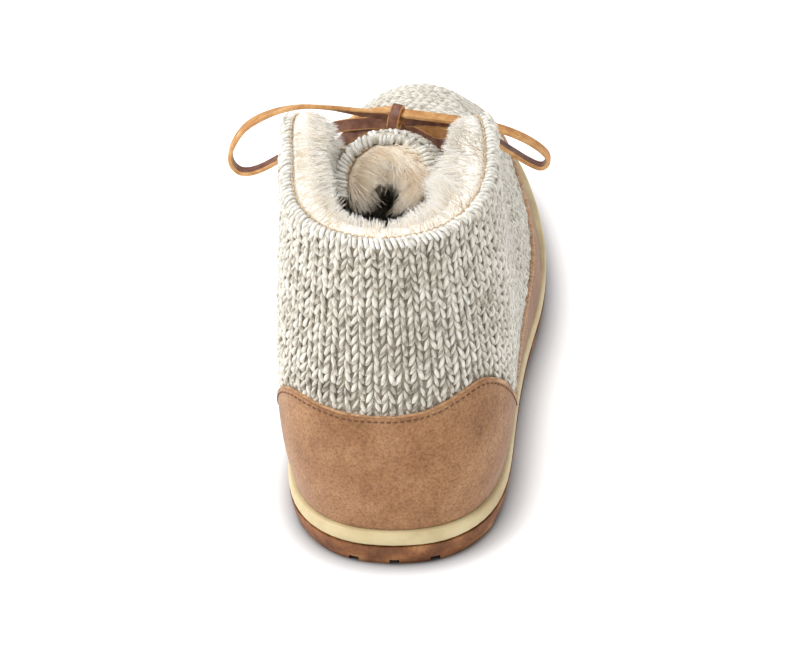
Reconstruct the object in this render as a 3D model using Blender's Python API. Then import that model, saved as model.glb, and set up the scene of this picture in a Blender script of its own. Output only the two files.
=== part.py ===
"""Winter ankle boot for the right foot, as one assembly of separate solids.

All sizes are millimetres until the mesh is written; MM turns them into metres.
+Y runs to the toe, +X to the outer (lateral) side, +Z up. The origin is on the
ground, at the middle of the boot's length and width.

The upper is described by ribs. A rib starts at the sole's edge, climbs the wall
and ends on the topline, which is the collar and, further forward, the throat.
"place" counts round the foot: 0 at the back of the heel, 1 at the toe tip, with
side +1 on the lateral half and -1 on the medial half.
"""
import math

import bmesh
import bpy
import numpy as np
from mathutils import Quaternion, Vector

MM = 0.001
GAP = 0.3
OBJECT_NAME = "winter_ankle_boot"

# Heights of the layers at the heel
OUTSOLE_TOP = 9.0
MIDSOLE_BOTTOM = OUTSOLE_TOP + GAP
MIDSOLE_TOP = 15.0
FEATHER_Z = MIDSOLE_TOP + GAP

# Ends of the sole, toe spring and arch
HEEL_Y = -134.0
TOE_Y = 134.0
SPRING_START_Y = 43.0
SPRING_RISE = 9.0
ARCH_Y = -38.0
ARCH_HALF_LENGTH = 27.0
ARCH_RISE = 2.6

# Thickness of the sheets, counted inwards from the outermost skin
SUEDE = 1.5
KNIT_OUT = -(SUEDE + GAP)
KNIT_WALL = 2.2
KNIT_IN = KNIT_OUT - KNIT_WALL

# The sole's edge, a row for each place round the foot. lateral and medial are the x of
# the widest line of the sole, inset is how far the upper stands in from it, lean is how
# far the wall swells outwards over the height lift.
SOLE_COLUMNS = ("place", "y", "lateral", "medial", "inset", "lean_lat", "lean_med", "lift")
SOLE_ROWS = (
    (0.00, HEEL_Y, -3.5, -3.5, 2.4, 5.0, 5.0, 30.0),
    (0.08, -129.0, 18.0, -25.0, 2.4, 6.0, 6.0, 30.0),
    (0.17, -111.0, 32.3, -39.5, 2.2, 9.5, 8.0, 31.0),
    (0.28, -79.0, 37.0, -42.5, 1.6, 8.0, 5.0, 32.0),
    (0.38, -47.0, 39.3, -39.6, 1.2, 5.0, 3.5, 32.0),
    (0.46, -21.0, 42.6, -39.8, 1.0, 2.0, 3.0, 33.0),
    (0.54, 3.0, 46.7, -43.0, 1.2, -2.5, 1.0, 34.0),
    (0.63, 31.0, 48.4, -47.3, 2.2, -6.0, -3.0, 34.0),
    (0.73, 60.0, 46.4, -48.4, 3.0, -8.0, -6.0, 33.0),
    (0.83, 90.0, 40.3, -43.0, 3.0, -7.5, -6.0, 30.0),
    (0.92, 118.0, 26.0, -32.5, 3.0, -4.0, -4.0, 26.0),
    (1.00, TOE_Y, -5.0, -5.0, 3.0, -1.0, -1.0, 24.0),
)

# The topline and the shoulder below it, which draws each rib in. half is the distance
# from the centre line, whose x is centre.
TOP_COLUMNS = ("place", "shoulder_y", "shoulder_half", "shoulder_z",
               "rim_y", "rim_half", "rim_z", "centre")
TOP_ROWS = (
    (0.00, -128.0, 0.0, 86.0, -118.5, 0.0, 123.4, -4.0),
    (0.08, -123.0, 22.0, 87.0, -113.5, 19.0, 124.0, -4.0),
    (0.17, -106.0, 36.8, 90.0, -99.0, 32.0, 125.3, -3.8),
    (0.28, -80.0, 39.2, 96.0, -78.0, 36.5, 127.0, -3.4),
    (0.38, -58.0, 36.2, 97.0, -59.0, 36.4, 127.8, -3.8),
    (0.46, -38.0, 32.4, 92.0, -42.5, 33.2, 126.6, -3.8),
    (0.54, -14.0, 29.0, 83.0, -29.5, 25.5, 109.0, -3.0),
    (0.63, 12.0, 28.5, 75.0, -10.0, 19.5, 94.5, -2.0),
    (0.73, 40.0, 27.0, 67.5, 10.0, 15.5, 84.0, -2.0),
    (0.83, 66.0, 23.0, 62.0, 25.0, 11.5, 78.0, -2.0),
    (0.92, 84.0, 13.5, 60.5, 33.5, 6.5, 75.0, -2.0),
    (1.00, 92.0, 0.0, 60.5, 36.5, 0.0, 73.8, -2.0),
)
SHOULDER_SHIFT = 1.0
ODD_COLUMNS = ("half", "shoulder_half", "rim_half")

# Heel counter: the height of its top edge, by place, on either side of the heel
COUNTER_COLUMNS = ("place", "lateral", "medial")
COUNTER_ROWS = (
    (0.00, 62.2, 62.2),
    (0.05, 63.5, 62.4),
    (0.09, 67.4, 63.4),
    (0.115, 69.3, 63.9),
    (0.14, 68.2, 63.6),
    (0.17, 61.8, 59.8),
    (0.20, 52.6, 51.3),
    (0.23, 42.5, 41.2),
    (0.26, 34.3, 33.9),
    (0.29, 31.0, 31.0),
)
COUNTER_END = 0.290
COUNTER_STATIONS = 31
COUNTER_ROWS_UP = 5

# Mudguard: the strip of suede that carries on from the counter round the toe
MUDGUARD_HEIGHT = 15.5
MUDGUARD_START = COUNTER_END + 0.0025
MUDGUARD_ROWS_UP = 4

# Rolled edge round the collar and the throat
BEAD_RADIUS = 2.3
BEAD_DROP = 5.0

# Fur lining of the shaft: its depth by place, how far it clears the knitted wall, and the
# locks fused on its inner edge
FUR_COLUMNS = ("place", "depth", "clear")
FUR_ROWS = (
    (0.00, 10.0, 0.5),
    (0.20, 10.5, 0.5),
    (0.34, 10.0, 0.5),
    (0.42, 7.5, 0.7),
    (0.50, 5.0, 1.1),
)
FUR_END = 0.500
FUR_BOTTOM_Z = 74.0
LOCK_COUNT = 26
LOCK_ROOT = 3.0
LOCK_RADIUS = 3.7
LOCK_LENGTH = 9.0

# Insole
INSOLE_THICK = 5.0

# Tongue: a curled sheet from its root under the vamp to its round top. x, y and z are the
# middle line of its outer face, radius and turn the arc that it curls into on either side.
TONGUE_THICK = 3.0
TONGUE_COLUMNS = ("x", "y", "z", "radius", "turn")
TONGUE_ROWS = (
    (-2.6, 52.0, 64.6, 26.0, 26.0),
    (-2.5, 44.0, 66.6, 25.0, 30.0),
    (-2.4, 36.0, 68.0, 24.0, 35.0),
    (-2.4, 27.0, 72.4, 22.0, 42.0),
    (-2.6, 10.0, 84.4, 19.5, 51.0),
    (-3.2, -8.0, 96.4, 18.0, 62.0),
    (-4.4, -24.0, 107.2, 18.0, 82.0),
    (-5.6, -36.0, 114.8, 18.0, 98.0),
    (-6.4, -42.5, 118.8, 17.6, 110.0),
)
TONGUE_BEAD = 2.0

# Fur inside the tongue's top: a sleeve with locks on its inner edge
TONGUE_FUR_DEPTH = 6.0
TONGUE_FUR_SHARES = (0.66, 0.985)
TONGUE_FUR_REACH = 0.93
TONGUE_LOCKS = 7

# Lace: a flat thong, with a point of its route every LACE_SPACING
LACE_WIDTH = 4.4
LACE_THICK = 2.0
LACE_SPACING = 5.0
EYELET_PLACES = (0.775, 0.685, 0.600)
EYELET_FROM_RIM = 11.0
EYELET_BORE = 2.2
EYELET_BARREL = 2.9
EYELET_FLANGE = 4.3
EYELET_SHEET = 0.8
EYELET_SEAT = 0.7

# Bow: the knot, tilted to lie on the tongue, and the routes of its loops and short ends
KNOT = (-4.2, -20.0, 111.0)
KNOT_WIDTH = 4.6
KNOT_DEPTH = 7.6
KNOT_HEIGHT = 9.8
KNOT_TILT = 31.5
LOOP_MEDIAL = (
    (-7.3, -21.5, 112.9),
    (-16.7, -22.0, 114.5),
    (-27.2, -22.0, 116.3),
    (-37.7, -22.0, 116.8),
    (-47.8, -22.0, 114.4),
    (-57.0, -22.0, 109.1),
    (-62.4, -22.0, 101.5),
    (-63.8, -22.0, 95.0),
    (-60.8, -22.0, 90.4),
    (-55.0, -21.8, 90.6),
    (-46.0, -20.0, 95.0),
    (-36.5, -18.0, 102.0),
    (-26.5, -17.5, 107.6),
    (-16.7, -18.5, 109.0),
    (-7.3, -20.0, 109.5),
)
LOOP_LATERAL = (
    (-1.1, -21.5, 113.5),
    (7.9, -22.0, 112.4),
    (17.7, -22.0, 110.8),
    (30.3, -22.0, 108.0),
    (39.4, -22.0, 104.2),
    (46.3, -22.0, 99.4),
    (49.4, -22.0, 95.0),
    (47.2, -22.0, 91.6),
    (42.4, -22.0, 93.6),
    (35.7, -21.5, 98.2),
    (29.0, -20.5, 102.3),
    (17.0, -18.5, 106.8),
    (7.8, -18.5, 108.6),
    (-1.1, -20.0, 109.6),
)
END_MEDIAL = (
    (-4.2, -15.0, 110.4),
    (-7.0, -9.5, 108.2),
    (-12.5, -4.0, 104.5),
    (-19.5, 1.0, 98.5),
    (-25.5, 4.5, 91.5),
)
END_LATERAL = (
    (-4.2, -16.6, 107.6),
    (-1.5, -11.5, 105.2),
    (4.0, -5.0, 102.5),
    (11.5, 0.5, 98.0),
    (18.0, 4.0, 91.5),
)
STRIP_MEDIAL = ((-23.1, -17.0, 104.4), (-15.6, -17.2, 105.4), (-8.0, -18.0, 106.6))
STRIP_LATERAL = (
    (13.5, -15.5, 99.1),
    (9.4, -16.2, 99.2),
    (4.0, -17.0, 102.7),
    (-0.6, -18.0, 106.2),
)


def scene_setup():
    """Empty the scene and make the collections for the parts and for the cutters."""
    for old in list(bpy.data.objects):
        bpy.data.objects.remove(old, do_unlink=True)
    parts = bpy.data.collections.new(OBJECT_NAME)
    cutters = bpy.data.collections.new("cutters")
    bpy.context.scene.collection.children.link(parts)
    bpy.context.scene.collection.children.link(cutters)
    return parts, cutters


def material(name, colour, roughness, metallic=0.0):
    mat = bpy.data.materials.new(name)
    mat.use_nodes = True
    shader = mat.node_tree.nodes["Principled BSDF"]
    shader.inputs["Base Color"].default_value = (*colour, 1.0)
    shader.inputs["Roughness"].default_value = roughness
    shader.inputs["Metallic"].default_value = metallic
    return mat


def periodic_spline(knots, values, period):
    """Cubic spline through the knots, repeating after the period."""
    x = np.array(knots, float)
    y = np.array(values, float)
    count = len(x)
    step = np.append(np.diff(x), x[0] + period - x[-1])
    rise = (np.roll(y, -1) - y) / step
    matrix = np.zeros((count, count))
    for i in range(count):
        matrix[i, i - 1] += step[i - 1]
        matrix[i, i] += 2.0 * (step[i - 1] + step[i])
        matrix[i, (i + 1) % count] += step[i]
    bend = np.linalg.solve(matrix, 6.0 * (rise - np.roll(rise, 1)))

    def value(at):
        at = np.asarray(at, float)
        wrapped = (at - x[0]) % period + x[0]
        i = np.clip(np.searchsorted(x, wrapped, side="right") - 1, 0, count - 1)
        j = (i + 1) % count
        h = step[i]
        a = (x[i] + h - wrapped) / h
        b = 1.0 - a
        return (a * y[i] + b * y[j]
                + ((a**3 - a) * bend[i] + (b**3 - b) * bend[j]) * h * h / 6.0)

    return value


def round_the_foot(places, values, odd):
    """Spline by place, mirrored at the heel and at the toe so that both close smoothly."""
    sign = -1.0 if odd else 1.0
    mirrored = [2.0 - p for p in places[-2:0:-1]]
    back = [sign * v for v in values[-2:0:-1]]
    return periodic_spline(list(places) + mirrored, list(values) + back, 2.0)


def read_table(columns, rows):
    """The columns of a table by name."""
    return {name: [row[i] for row in rows] for i, name in enumerate(columns)}


def table_splines(columns, rows):
    """One spline for each named column of a table whose first column is the place."""
    table = read_table(columns, rows)
    places = table.pop("place")
    if "lateral" in table:
        lateral = np.array(table.pop("lateral"))
        medial = np.array(table.pop("medial"))
        table["half"] = (lateral - medial) / 2.0
        table["middle"] = (lateral + medial) / 2.0
    return {name: round_the_foot(places, values, name in ODD_COLUMNS)
            for name, values in table.items()}


SOLE = table_splines(SOLE_COLUMNS, SOLE_ROWS)
TOP = table_splines(TOP_COLUMNS, TOP_ROWS)
COUNTER = read_table(COUNTER_COLUMNS, COUNTER_ROWS)
FUR = read_table(FUR_COLUMNS, FUR_ROWS)


def spring(y):
    """Rise of every layer of the sole towards the toe."""
    share = np.clip((np.asarray(y, float) - SPRING_START_Y) / (TOE_Y - SPRING_START_Y), 0.0, 2.0)
    return SPRING_RISE * share**2


def arch(y):
    """Rise of the outsole's underside between the heel and the tread of the forefoot."""
    share = np.clip(1.0 - ((np.asarray(y, float) - ARCH_Y) / ARCH_HALF_LENGTH)**2, 0.0, 1.0)
    return ARCH_RISE * share**1.5


def sole_edge(place, side):
    """Widest line of the sole, and the direction that points out of it."""
    x = SOLE["middle"](place) + side * SOLE["half"](place)
    y = SOLE["y"](place)
    step = 1e-3
    along_x = (SOLE["middle"](place + step) - SOLE["middle"](place - step)
               + side * (SOLE["half"](place + step) - SOLE["half"](place - step)))
    along_y = SOLE["y"](place + step) - SOLE["y"](place - step)
    length = np.hypot(along_x, along_y)
    return x, y, side * along_y / length, -side * along_x / length


def sole_point(place, side, inset, height):
    """Point on a layer of the sole; height is a function of y."""
    x, y, out_x, out_y = sole_edge(place, side)
    px = x - out_x * inset
    py = y - out_y * inset
    return np.stack([px, py, height(py)], axis=-1)


def skin_raw(place, side, climb):
    """Outermost skin of the boot: a rib from the sole's edge, climb 0, to the topline, 1."""
    x, y, out_x, out_y = sole_edge(place, side)
    inset = SOLE["inset"](place)
    lean = np.where(side > 0, SOLE["lean_lat"](place), SOLE["lean_med"](place))
    foot_x = x - out_x * inset
    foot_y = y - out_y * inset
    foot_z = FEATHER_Z + spring(foot_y)
    centre = TOP["centre"](place)
    foot = np.stack([foot_x, foot_y, foot_z], axis=-1)
    swell = np.stack([foot_x + out_x * lean, foot_y + out_y * lean,
                      foot_z + SOLE["lift"](place)], axis=-1)
    shoulder = np.stack([centre + SHOULDER_SHIFT + side * TOP["shoulder_half"](place),
                         TOP["shoulder_y"](place), TOP["shoulder_z"](place)], axis=-1)
    rim = np.stack([centre + side * TOP["rim_half"](place), TOP["rim_y"](place),
                    TOP["rim_z"](place)], axis=-1)
    t = np.asarray(climb, float)[..., None]
    return ((1 - t)**3 * foot + 3 * (1 - t)**2 * t * swell
            + 3 * (1 - t) * t**2 * shoulder + t**3 * rim)


def skin(place, side, climb, offset=0.0):
    """Point at a distance from the outermost skin, negative inwards."""
    place, side, climb, offset = np.broadcast_arrays(
        *(np.asarray(v, float) for v in (place, side, climb, offset)))
    step = 2e-3
    point = skin_raw(place, side, climb)
    along = skin_raw(place + step, side, climb) - skin_raw(place - step, side, climb)
    up = skin_raw(place, side, climb + step) - skin_raw(place, side, climb - step)
    normal = np.cross(along, up) * side[..., None]
    normal /= np.linalg.norm(normal, axis=-1, keepdims=True)
    _, _, out_x, out_y = sole_edge(place, side)
    level = np.stack([out_x, out_y, np.zeros_like(out_x)], axis=-1)
    share = np.clip(climb / 0.14, 0.0, 1.0)[..., None]
    share = share**2 * (3 - 2 * share)
    normal = level * (1 - share) + normal * share
    normal /= np.linalg.norm(normal, axis=-1, keepdims=True)
    return point + normal * offset[..., None]


def climb_at_height(place, side, height):
    """Climb at which a rib reaches a height above the ground."""
    climbs = np.linspace(0.0, 1.0, 101)
    heights = skin_raw(np.full(101, place), np.full(101, float(side)), climbs)[:, 2]
    return float(np.interp(height, heights, climbs))


def climb_below_rim(place, side, distance):
    """Climb that lies a distance short of the topline, measured along the rib."""
    climbs = np.linspace(0.0, 1.0, 101)
    points = skin_raw(np.full(101, place), np.full(101, float(side)), climbs)
    run = np.append(0.0, np.cumsum(np.linalg.norm(np.diff(points, axis=0), axis=1)))
    return float(np.interp(run[-1] - distance, run, climbs))


def ring_places(count):
    """Places round the whole foot: lateral from heel to toe, then medial back again."""
    half = np.linspace(0.0, 1.0, count + 1)
    lateral = [(p, 1.0) for p in half]
    medial = [(p, -1.0) for p in half[-2:0:-1]]
    return lateral + medial


def new_object(name, mesh, mat, collection):
    mesh.materials.append(mat)
    obj = bpy.data.objects.new(name, mesh)
    collection.objects.link(obj)
    return obj


def mesh_from_grid(name, grid, wrap_rows, wrap_columns):
    """Mesh of quads over a grid of points in millimetres, closed either way if asked."""
    rows, columns = len(grid), len(grid[0])
    verts = [tuple(MM * c for c in point) for row in grid for point in row]
    faces = []
    for r in range(rows if wrap_rows else rows - 1):
        for c in range(columns if wrap_columns else columns - 1):
            below, beyond = (r + 1) % rows, (c + 1) % columns
            faces.append((r * columns + c, r * columns + beyond,
                          below * columns + beyond, below * columns + c))
    mesh = bpy.data.meshes.new(name)
    mesh.from_pydata(verts, [], faces)
    return mesh


def finish_mesh(mesh, smooth_angle=40.0):
    """Merge the seams, turn every face outwards and shade the round parts smooth."""
    shape = bmesh.new()
    shape.from_mesh(mesh)
    bmesh.ops.remove_doubles(shape, verts=shape.verts, dist=0.00002)
    bmesh.ops.dissolve_degenerate(shape, edges=shape.edges, dist=0.00001)
    bmesh.ops.recalc_face_normals(shape, faces=shape.faces)
    if shape.calc_volume(signed=True) < 0.0:
        bmesh.ops.reverse_faces(shape, faces=shape.faces)
    shape.to_mesh(mesh)
    shape.free()
    mesh.shade_smooth()
    mesh.set_sharp_from_angle(angle=math.radians(smooth_angle))


def inwards(distance):
    """Inset of a layer of the sole that is the same all round."""
    return lambda place: np.full_like(place, distance)


def slab(name, levels, count):
    """Solid between two soles: a ring for each level, closed by strips across the foot."""
    places = ring_places(count)
    place = np.array([p for p, _ in places])
    side = np.array([s for _, s in places])
    rings = [sole_point(place, side, inset(place), height) for inset, height in levels]
    mesh = mesh_from_grid(name, rings, False, True)
    shape = bmesh.new()
    shape.from_mesh(mesh)
    shape.verts.ensure_lookup_table()
    ring = len(places)
    for level in (0, len(levels) - 1):
        start = level * ring
        for i in range(count):
            corners = [start + i, start + i + 1, start + (ring - i - 1) % ring, start + (ring - i) % ring]
            unique = list(dict.fromkeys(corners))
            shape.faces.new([shape.verts[k] for k in unique])
    shape.to_mesh(mesh)
    shape.free()
    return mesh


def cut(obj, cutter, operation="DIFFERENCE"):
    """Apply one Boolean between two objects and remove the second."""
    modifier = obj.modifiers.new("cut", "BOOLEAN")
    modifier.operation = operation
    modifier.solver = "EXACT"
    modifier.object = cutter
    depsgraph = bpy.context.evaluated_depsgraph_get()
    depsgraph.update()
    result = bpy.data.meshes.new_from_object(obj.evaluated_get(depsgraph))
    obj.modifiers.clear()
    old = obj.data
    obj.data = result
    bpy.data.meshes.remove(old)
    bpy.data.objects.remove(cutter, do_unlink=True)


def box_cutter(name, centre, size, turn, cutters):
    """Box in millimetres, turned about Z."""
    bpy.ops.mesh.primitive_cube_add(size=1.0, location=Vector(centre) * MM,
                                    rotation=(0.0, 0.0, math.radians(turn)))
    box = bpy.context.active_object
    box.name = name
    box.scale = Vector(size) * MM
    for owner in list(box.users_collection):
        owner.objects.unlink(box)
    cutters.objects.link(box)
    box.hide_render = True
    box.display_type = "WIRE"
    return box


# Outsole: gum rubber, with an undercut foot, an arch and lugs between slanted grooves
OUTSOLE_STATIONS = 26
MIDSOLE_STATIONS = 30
INSOLE_STATIONS = 24
LUG_DEPTH = 2.8
CUTTER_HEIGHT = 20.0
GROOVE_OVERLAP = 1.5
GROOVE_MIDDLE = -2.0
GROOVE_WIDTH = 3.4
GROOVE_LENGTH = 52.0
GROOVE_TURN = 14.0
GROOVE_PITCH = 14.5
HEEL_GROOVES = 4
HEEL_FIRST_GROOVE = -113.0
FOREFOOT_GROOVES = 9
FOREFOOT_FIRST_GROOVE = -2.0
BACK_NOTCHES = (-17.5, -3.5, 10.5)
BACK_NOTCH_LENGTH = 13.0


def make_outsole(parts, cutters):
    def foot(y):
        return spring(y) + arch(y)

    levels = (
        (inwards(2.6), foot),
        (inwards(1.3), lambda y: foot(y) + 2.4),
        (inwards(0.4), lambda y: foot(y) + 5.2),
        (inwards(0.0), lambda y: spring(y) + OUTSOLE_TOP),
    )
    mesh = slab("outsole", levels, OUTSOLE_STATIONS)
    finish_mesh(mesh)
    sole = new_object("outsole", mesh, material("gum_rubber", (0.32, 0.14, 0.06), 0.42), parts)
    rows = [HEEL_FIRST_GROOVE + GROOVE_PITCH * i for i in range(HEEL_GROOVES)]
    rows += [FOREFOOT_FIRST_GROOVE + GROOVE_PITCH * i for i in range(FOREFOOT_GROOVES)]
    size = (GROOVE_LENGTH, GROOVE_WIDTH, CUTTER_HEIGHT)
    reach = GROOVE_LENGTH / 2.0 * math.cos(math.radians(GROOVE_TURN)) + GROOVE_OVERLAP
    for y in rows:
        height = float(foot(y)) + LUG_DEPTH - CUTTER_HEIGHT / 2.0
        for half in (-1.0, 1.0):
            centre = (half * reach + GROOVE_MIDDLE, y, height)
            cut(sole, box_cutter("groove", centre, size, half * GROOVE_TURN, cutters))
    size = (GROOVE_WIDTH, BACK_NOTCH_LENGTH, CUTTER_HEIGHT)
    for x in BACK_NOTCHES:
        centre = (x, HEEL_Y + BACK_NOTCH_LENGTH / 2.0, LUG_DEPTH - CUTTER_HEIGHT / 2.0)
        cut(sole, box_cutter("notch", centre, size, 0.0, cutters))
    finish_mesh(sole.data)


def make_midsole(parts):
    levels = (
        (inwards(0.5), lambda y: spring(y) + MIDSOLE_BOTTOM),
        (inwards(0.0), lambda y: spring(y) + MIDSOLE_BOTTOM + 1.4),
        (inwards(0.0), lambda y: spring(y) + MIDSOLE_TOP - 1.6),
        (inwards(0.7), lambda y: spring(y) + MIDSOLE_TOP),
    )
    mesh = slab("midsole", levels, MIDSOLE_STATIONS)
    finish_mesh(mesh)
    new_object("midsole", mesh, material("cream_foam", (0.80, 0.70, 0.46), 0.55), parts)


def make_insole(parts):
    def inside(extra):
        return lambda place: SOLE["inset"](place) - KNIT_IN + GAP + extra

    levels = (
        (inside(0.5), lambda y: spring(y) + FEATHER_Z),
        (inside(2.2), lambda y: spring(y) + FEATHER_Z + INSOLE_THICK - 1.2),
        (inside(4.0), lambda y: spring(y) + FEATHER_Z + INSOLE_THICK),
    )
    mesh = slab("insole", levels, INSOLE_STATIONS)
    finish_mesh(mesh)
    new_object("insole", mesh, material("fur_insole", (0.80, 0.72, 0.58), 0.9), parts)


# Upper: one knitted wall, a stitched bead round its topline
UPPER_STATIONS = 30
WALL_CLIMBS = (0.0, 0.12, 0.26, 0.41, 0.56, 0.70, 0.82, 0.91)


def wall_section(place, side):
    """Closed section of the knitted wall along one rib, from its outer foot to its inner."""
    below = climb_below_rim(place, side, BEAD_DROP)
    outer = [c * below / WALL_CLIMBS[-1] for c in WALL_CLIMBS]
    path = [(c, KNIT_OUT) for c in outer]
    middle = (KNIT_OUT + KNIT_IN) / 2.0
    bead_climb = climb_below_rim(place, side, BEAD_RADIUS)
    reach = 1.0 - bead_climb
    for angle in (-35.0, 15.0, 60.0, 105.0, 150.0, 190.0):
        radians = math.radians(angle)
        climb = bead_climb + reach * math.sin(radians)
        path.append((climb, middle + BEAD_RADIUS * math.cos(radians)))
    path += [(c, KNIT_IN) for c in reversed(outer)]
    climbs = np.array([c for c, _ in path])
    offsets = np.array([o for _, o in path])
    return skin(place, side, climbs, offsets)


def make_upper(parts):
    grid = [wall_section(p, s) for p, s in ring_places(UPPER_STATIONS)]
    mesh = mesh_from_grid("upper", grid, True, True)
    finish_mesh(mesh, 60.0)
    new_object("upper", mesh, material("marled_knit", (0.62, 0.59, 0.53), 0.9), parts)


def sheet_section(place, side, top, count):
    """Section of a sheet of suede laid on the knitted wall, up to a height, in count rows."""
    end = climb_at_height(place, side, top)
    up = np.linspace(0.0, end, count)
    outer = skin(place, side, up, np.zeros(count))
    inner = skin(place, side, up[::-1], np.full(count, -SUEDE))
    return np.vstack([outer, inner])


def sheet_mesh(name, sections):
    """Closed sheet from its sections, with its two ends filled."""
    mesh = mesh_from_grid(name, sections, False, True)
    shape = bmesh.new()
    shape.from_mesh(mesh)
    shape.verts.ensure_lookup_table()
    columns = len(sections[0])
    half = columns // 2
    for start in (0, (len(sections) - 1) * columns):
        for i in range(half - 1):
            corners = (start + i, start + i + 1, start + columns - 2 - i, start + columns - 1 - i)
            shape.faces.new([shape.verts[k] for k in corners])
    shape.to_mesh(mesh)
    shape.free()
    finish_mesh(mesh)
    return mesh


def make_counter(parts):
    walk = np.linspace(-COUNTER_END, COUNTER_END, COUNTER_STATIONS)
    sections = []
    for p in walk:
        side, label = (1.0, "lateral") if p >= 0.0 else (-1.0, "medial")
        top = float(np.interp(abs(p), COUNTER["place"], COUNTER[label]))
        sections.append(sheet_section(abs(p), side, top, COUNTER_ROWS_UP))
    mesh = sheet_mesh("heel_counter", sections)
    new_object("heel_counter", mesh, material("tan_suede", (0.40, 0.21, 0.11), 0.9), parts)


def make_mudguard(parts):
    stations = np.linspace(0.0, 1.0, UPPER_STATIONS + 1)
    half = [MUDGUARD_START, *stations[stations > MUDGUARD_START]]
    walk = [(p, 1.0) for p in half] + [(p, -1.0) for p in half[-2::-1]]
    sections = []
    for p, s in walk:
        foot = skin_raw(np.array(p), np.array(s), np.array(0.0))
        top = float(foot[2]) + MUDGUARD_HEIGHT
        sections.append(sheet_section(p, s, top, MUDGUARD_ROWS_UP))
    mesh = sheet_mesh("mudguard", sections)
    new_object("mudguard", mesh, material("tan_suede_rand", (0.40, 0.21, 0.11), 0.9), parts)


def fur_at(place):
    """Depth of the fur at a place, and the offset of its outer face from the skin."""
    depth = np.interp(place, FUR["place"], FUR["depth"])
    return depth, KNIT_IN - np.interp(place, FUR["place"], FUR["clear"])


def fur_section(place, side):
    """Closed section of the fur along one rib, from its outer foot over its soft crest."""
    depth, outer = fur_at(place)
    bottom = climb_at_height(place, side, FUR_BOTTOM_Z)
    under_bead = climb_below_rim(place, side, 8.0)
    below = climb_below_rim(place, side, 3.0)
    bead_back = (KNIT_OUT + KNIT_IN) / 2.0 - BEAD_RADIUS + (outer - KNIT_IN)
    deep = outer - depth
    path = (
        (bottom, outer),
        ((bottom + under_bead) / 2.0, outer),
        (under_bead, outer),
        (below, bead_back),
        (1.0, bead_back - 0.3),
        (1.015, bead_back + (deep - bead_back) * 0.35),
        (1.0, bead_back + (deep - bead_back) * 0.75),
        (below, deep),
        ((bottom + under_bead) / 2.0, deep),
        (bottom, deep + 2.0),
    )
    climbs = np.array([c for c, _ in path])
    offsets = np.array([o for _, o in path])
    return skin(place, side, climbs, offsets)


def fur_mesh():
    reach = int(FUR_END * UPPER_STATIONS)
    walk = np.arange(-reach, reach + 1) / UPPER_STATIONS
    sections = [fur_section(abs(p), 1.0 if p >= 0.0 else -1.0) for p in walk]
    return sheet_mesh("fur_collar", sections)


def lock_mesh(name, root, direction, radius, length):
    """One lock: a bent five-sided cone, from its root to a thin tip."""
    along = Vector(direction).normalized()
    across = along.cross(Vector((0.0, 0.0, 1.0))).normalized()
    other = along.cross(across)
    sides = 5
    rings = []
    for share, width in ((0.0, 1.0), (0.6, 0.65), (1.0, 0.1)):
        centre = Vector(root) + along * (length * share)
        centre.z -= length * 0.35 * share**2
        ring = []
        for i in range(sides):
            angle = math.tau * i / sides
            spot = centre + (across * math.cos(angle) + other * math.sin(angle)) * radius * width
            ring.append(tuple(spot))
        rings.append(ring)
    mesh = mesh_from_grid(name, rings, False, True)
    shape = bmesh.new()
    shape.from_mesh(mesh)
    shape.verts.ensure_lookup_table()
    for start in (0, sides * (len(rings) - 1)):
        shape.faces.new([shape.verts[start + i] for i in range(sides)])
    bmesh.ops.recalc_face_normals(shape, faces=shape.faces)
    shape.to_mesh(mesh)
    shape.free()
    return mesh


def add_lock(fur, root, direction, cutters):
    """Fuse one lock to a piece of fur."""
    mesh = lock_mesh("lock", root, direction, LOCK_RADIUS, LOCK_LENGTH)
    lock = new_object("lock", mesh, fur.data.materials[0], cutters)
    cut(fur, lock, "UNION")


def make_fur(parts, cutters):
    cream = material("cream_fur", (0.82, 0.74, 0.62), 0.95)
    fur = new_object("fur_collar", fur_mesh(), cream, parts)
    rng = np.random.default_rng(11)
    for i in range(LOCK_COUNT):
        share = (i + 0.5) / LOCK_COUNT * 2.0 - 1.0
        place = abs(share) * (FUR_END - 0.09)
        side = 1.0 if share >= 0.0 else -1.0
        depth, outer = fur_at(place)
        climb = climb_below_rim(place, side, 4.0 + 9.0 * (i % 3))
        root = skin(place, side, climb, outer - depth + LOCK_ROOT)
        inner = skin(place, side, climb, outer - depth)
        droop = np.array([0.0, 0.0, -0.25]) + rng.normal(0.0, 0.12, 3)
        direction = (inner - root) / LOCK_ROOT + droop
        add_lock(fur, root, direction, cutters)
    finish_mesh(fur.data)


def smooth_route(points, spacing):
    """Points read at even steps from one smooth curve through a short list of points."""
    control = np.array(points, float)
    ends = (2.0 * control[0] - control[1], 2.0 * control[-1] - control[-2])
    padded = np.vstack([ends[0], control, ends[1]])
    fine = []
    for i in range(1, len(padded) - 2):
        a, b, c, d = padded[i - 1:i + 3]
        for t in np.linspace(0.0, 1.0, 16, endpoint=False):
            fine.append(0.5 * (2 * b + (c - a) * t + (2 * a - 5 * b + 4 * c - d) * t**2
                               + (3 * b - a - 3 * c + d) * t**3))
    fine.append(control[-1])
    fine = np.array(fine)
    run = np.append(0.0, np.cumsum(np.linalg.norm(np.diff(fine, axis=0), axis=1)))
    count = max(3, int(round(run[-1] / spacing)) + 1)
    even = np.linspace(0.0, run[-1], count)
    return np.stack([np.interp(even, run, fine[:, k]) for k in range(3)], axis=1)


TONGUE_STATIONS = 6
TONGUE_WALK = (0.0, 0.12, 0.25, 0.38, 0.50, 0.62, 0.74, 0.85, 0.95)


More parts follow.
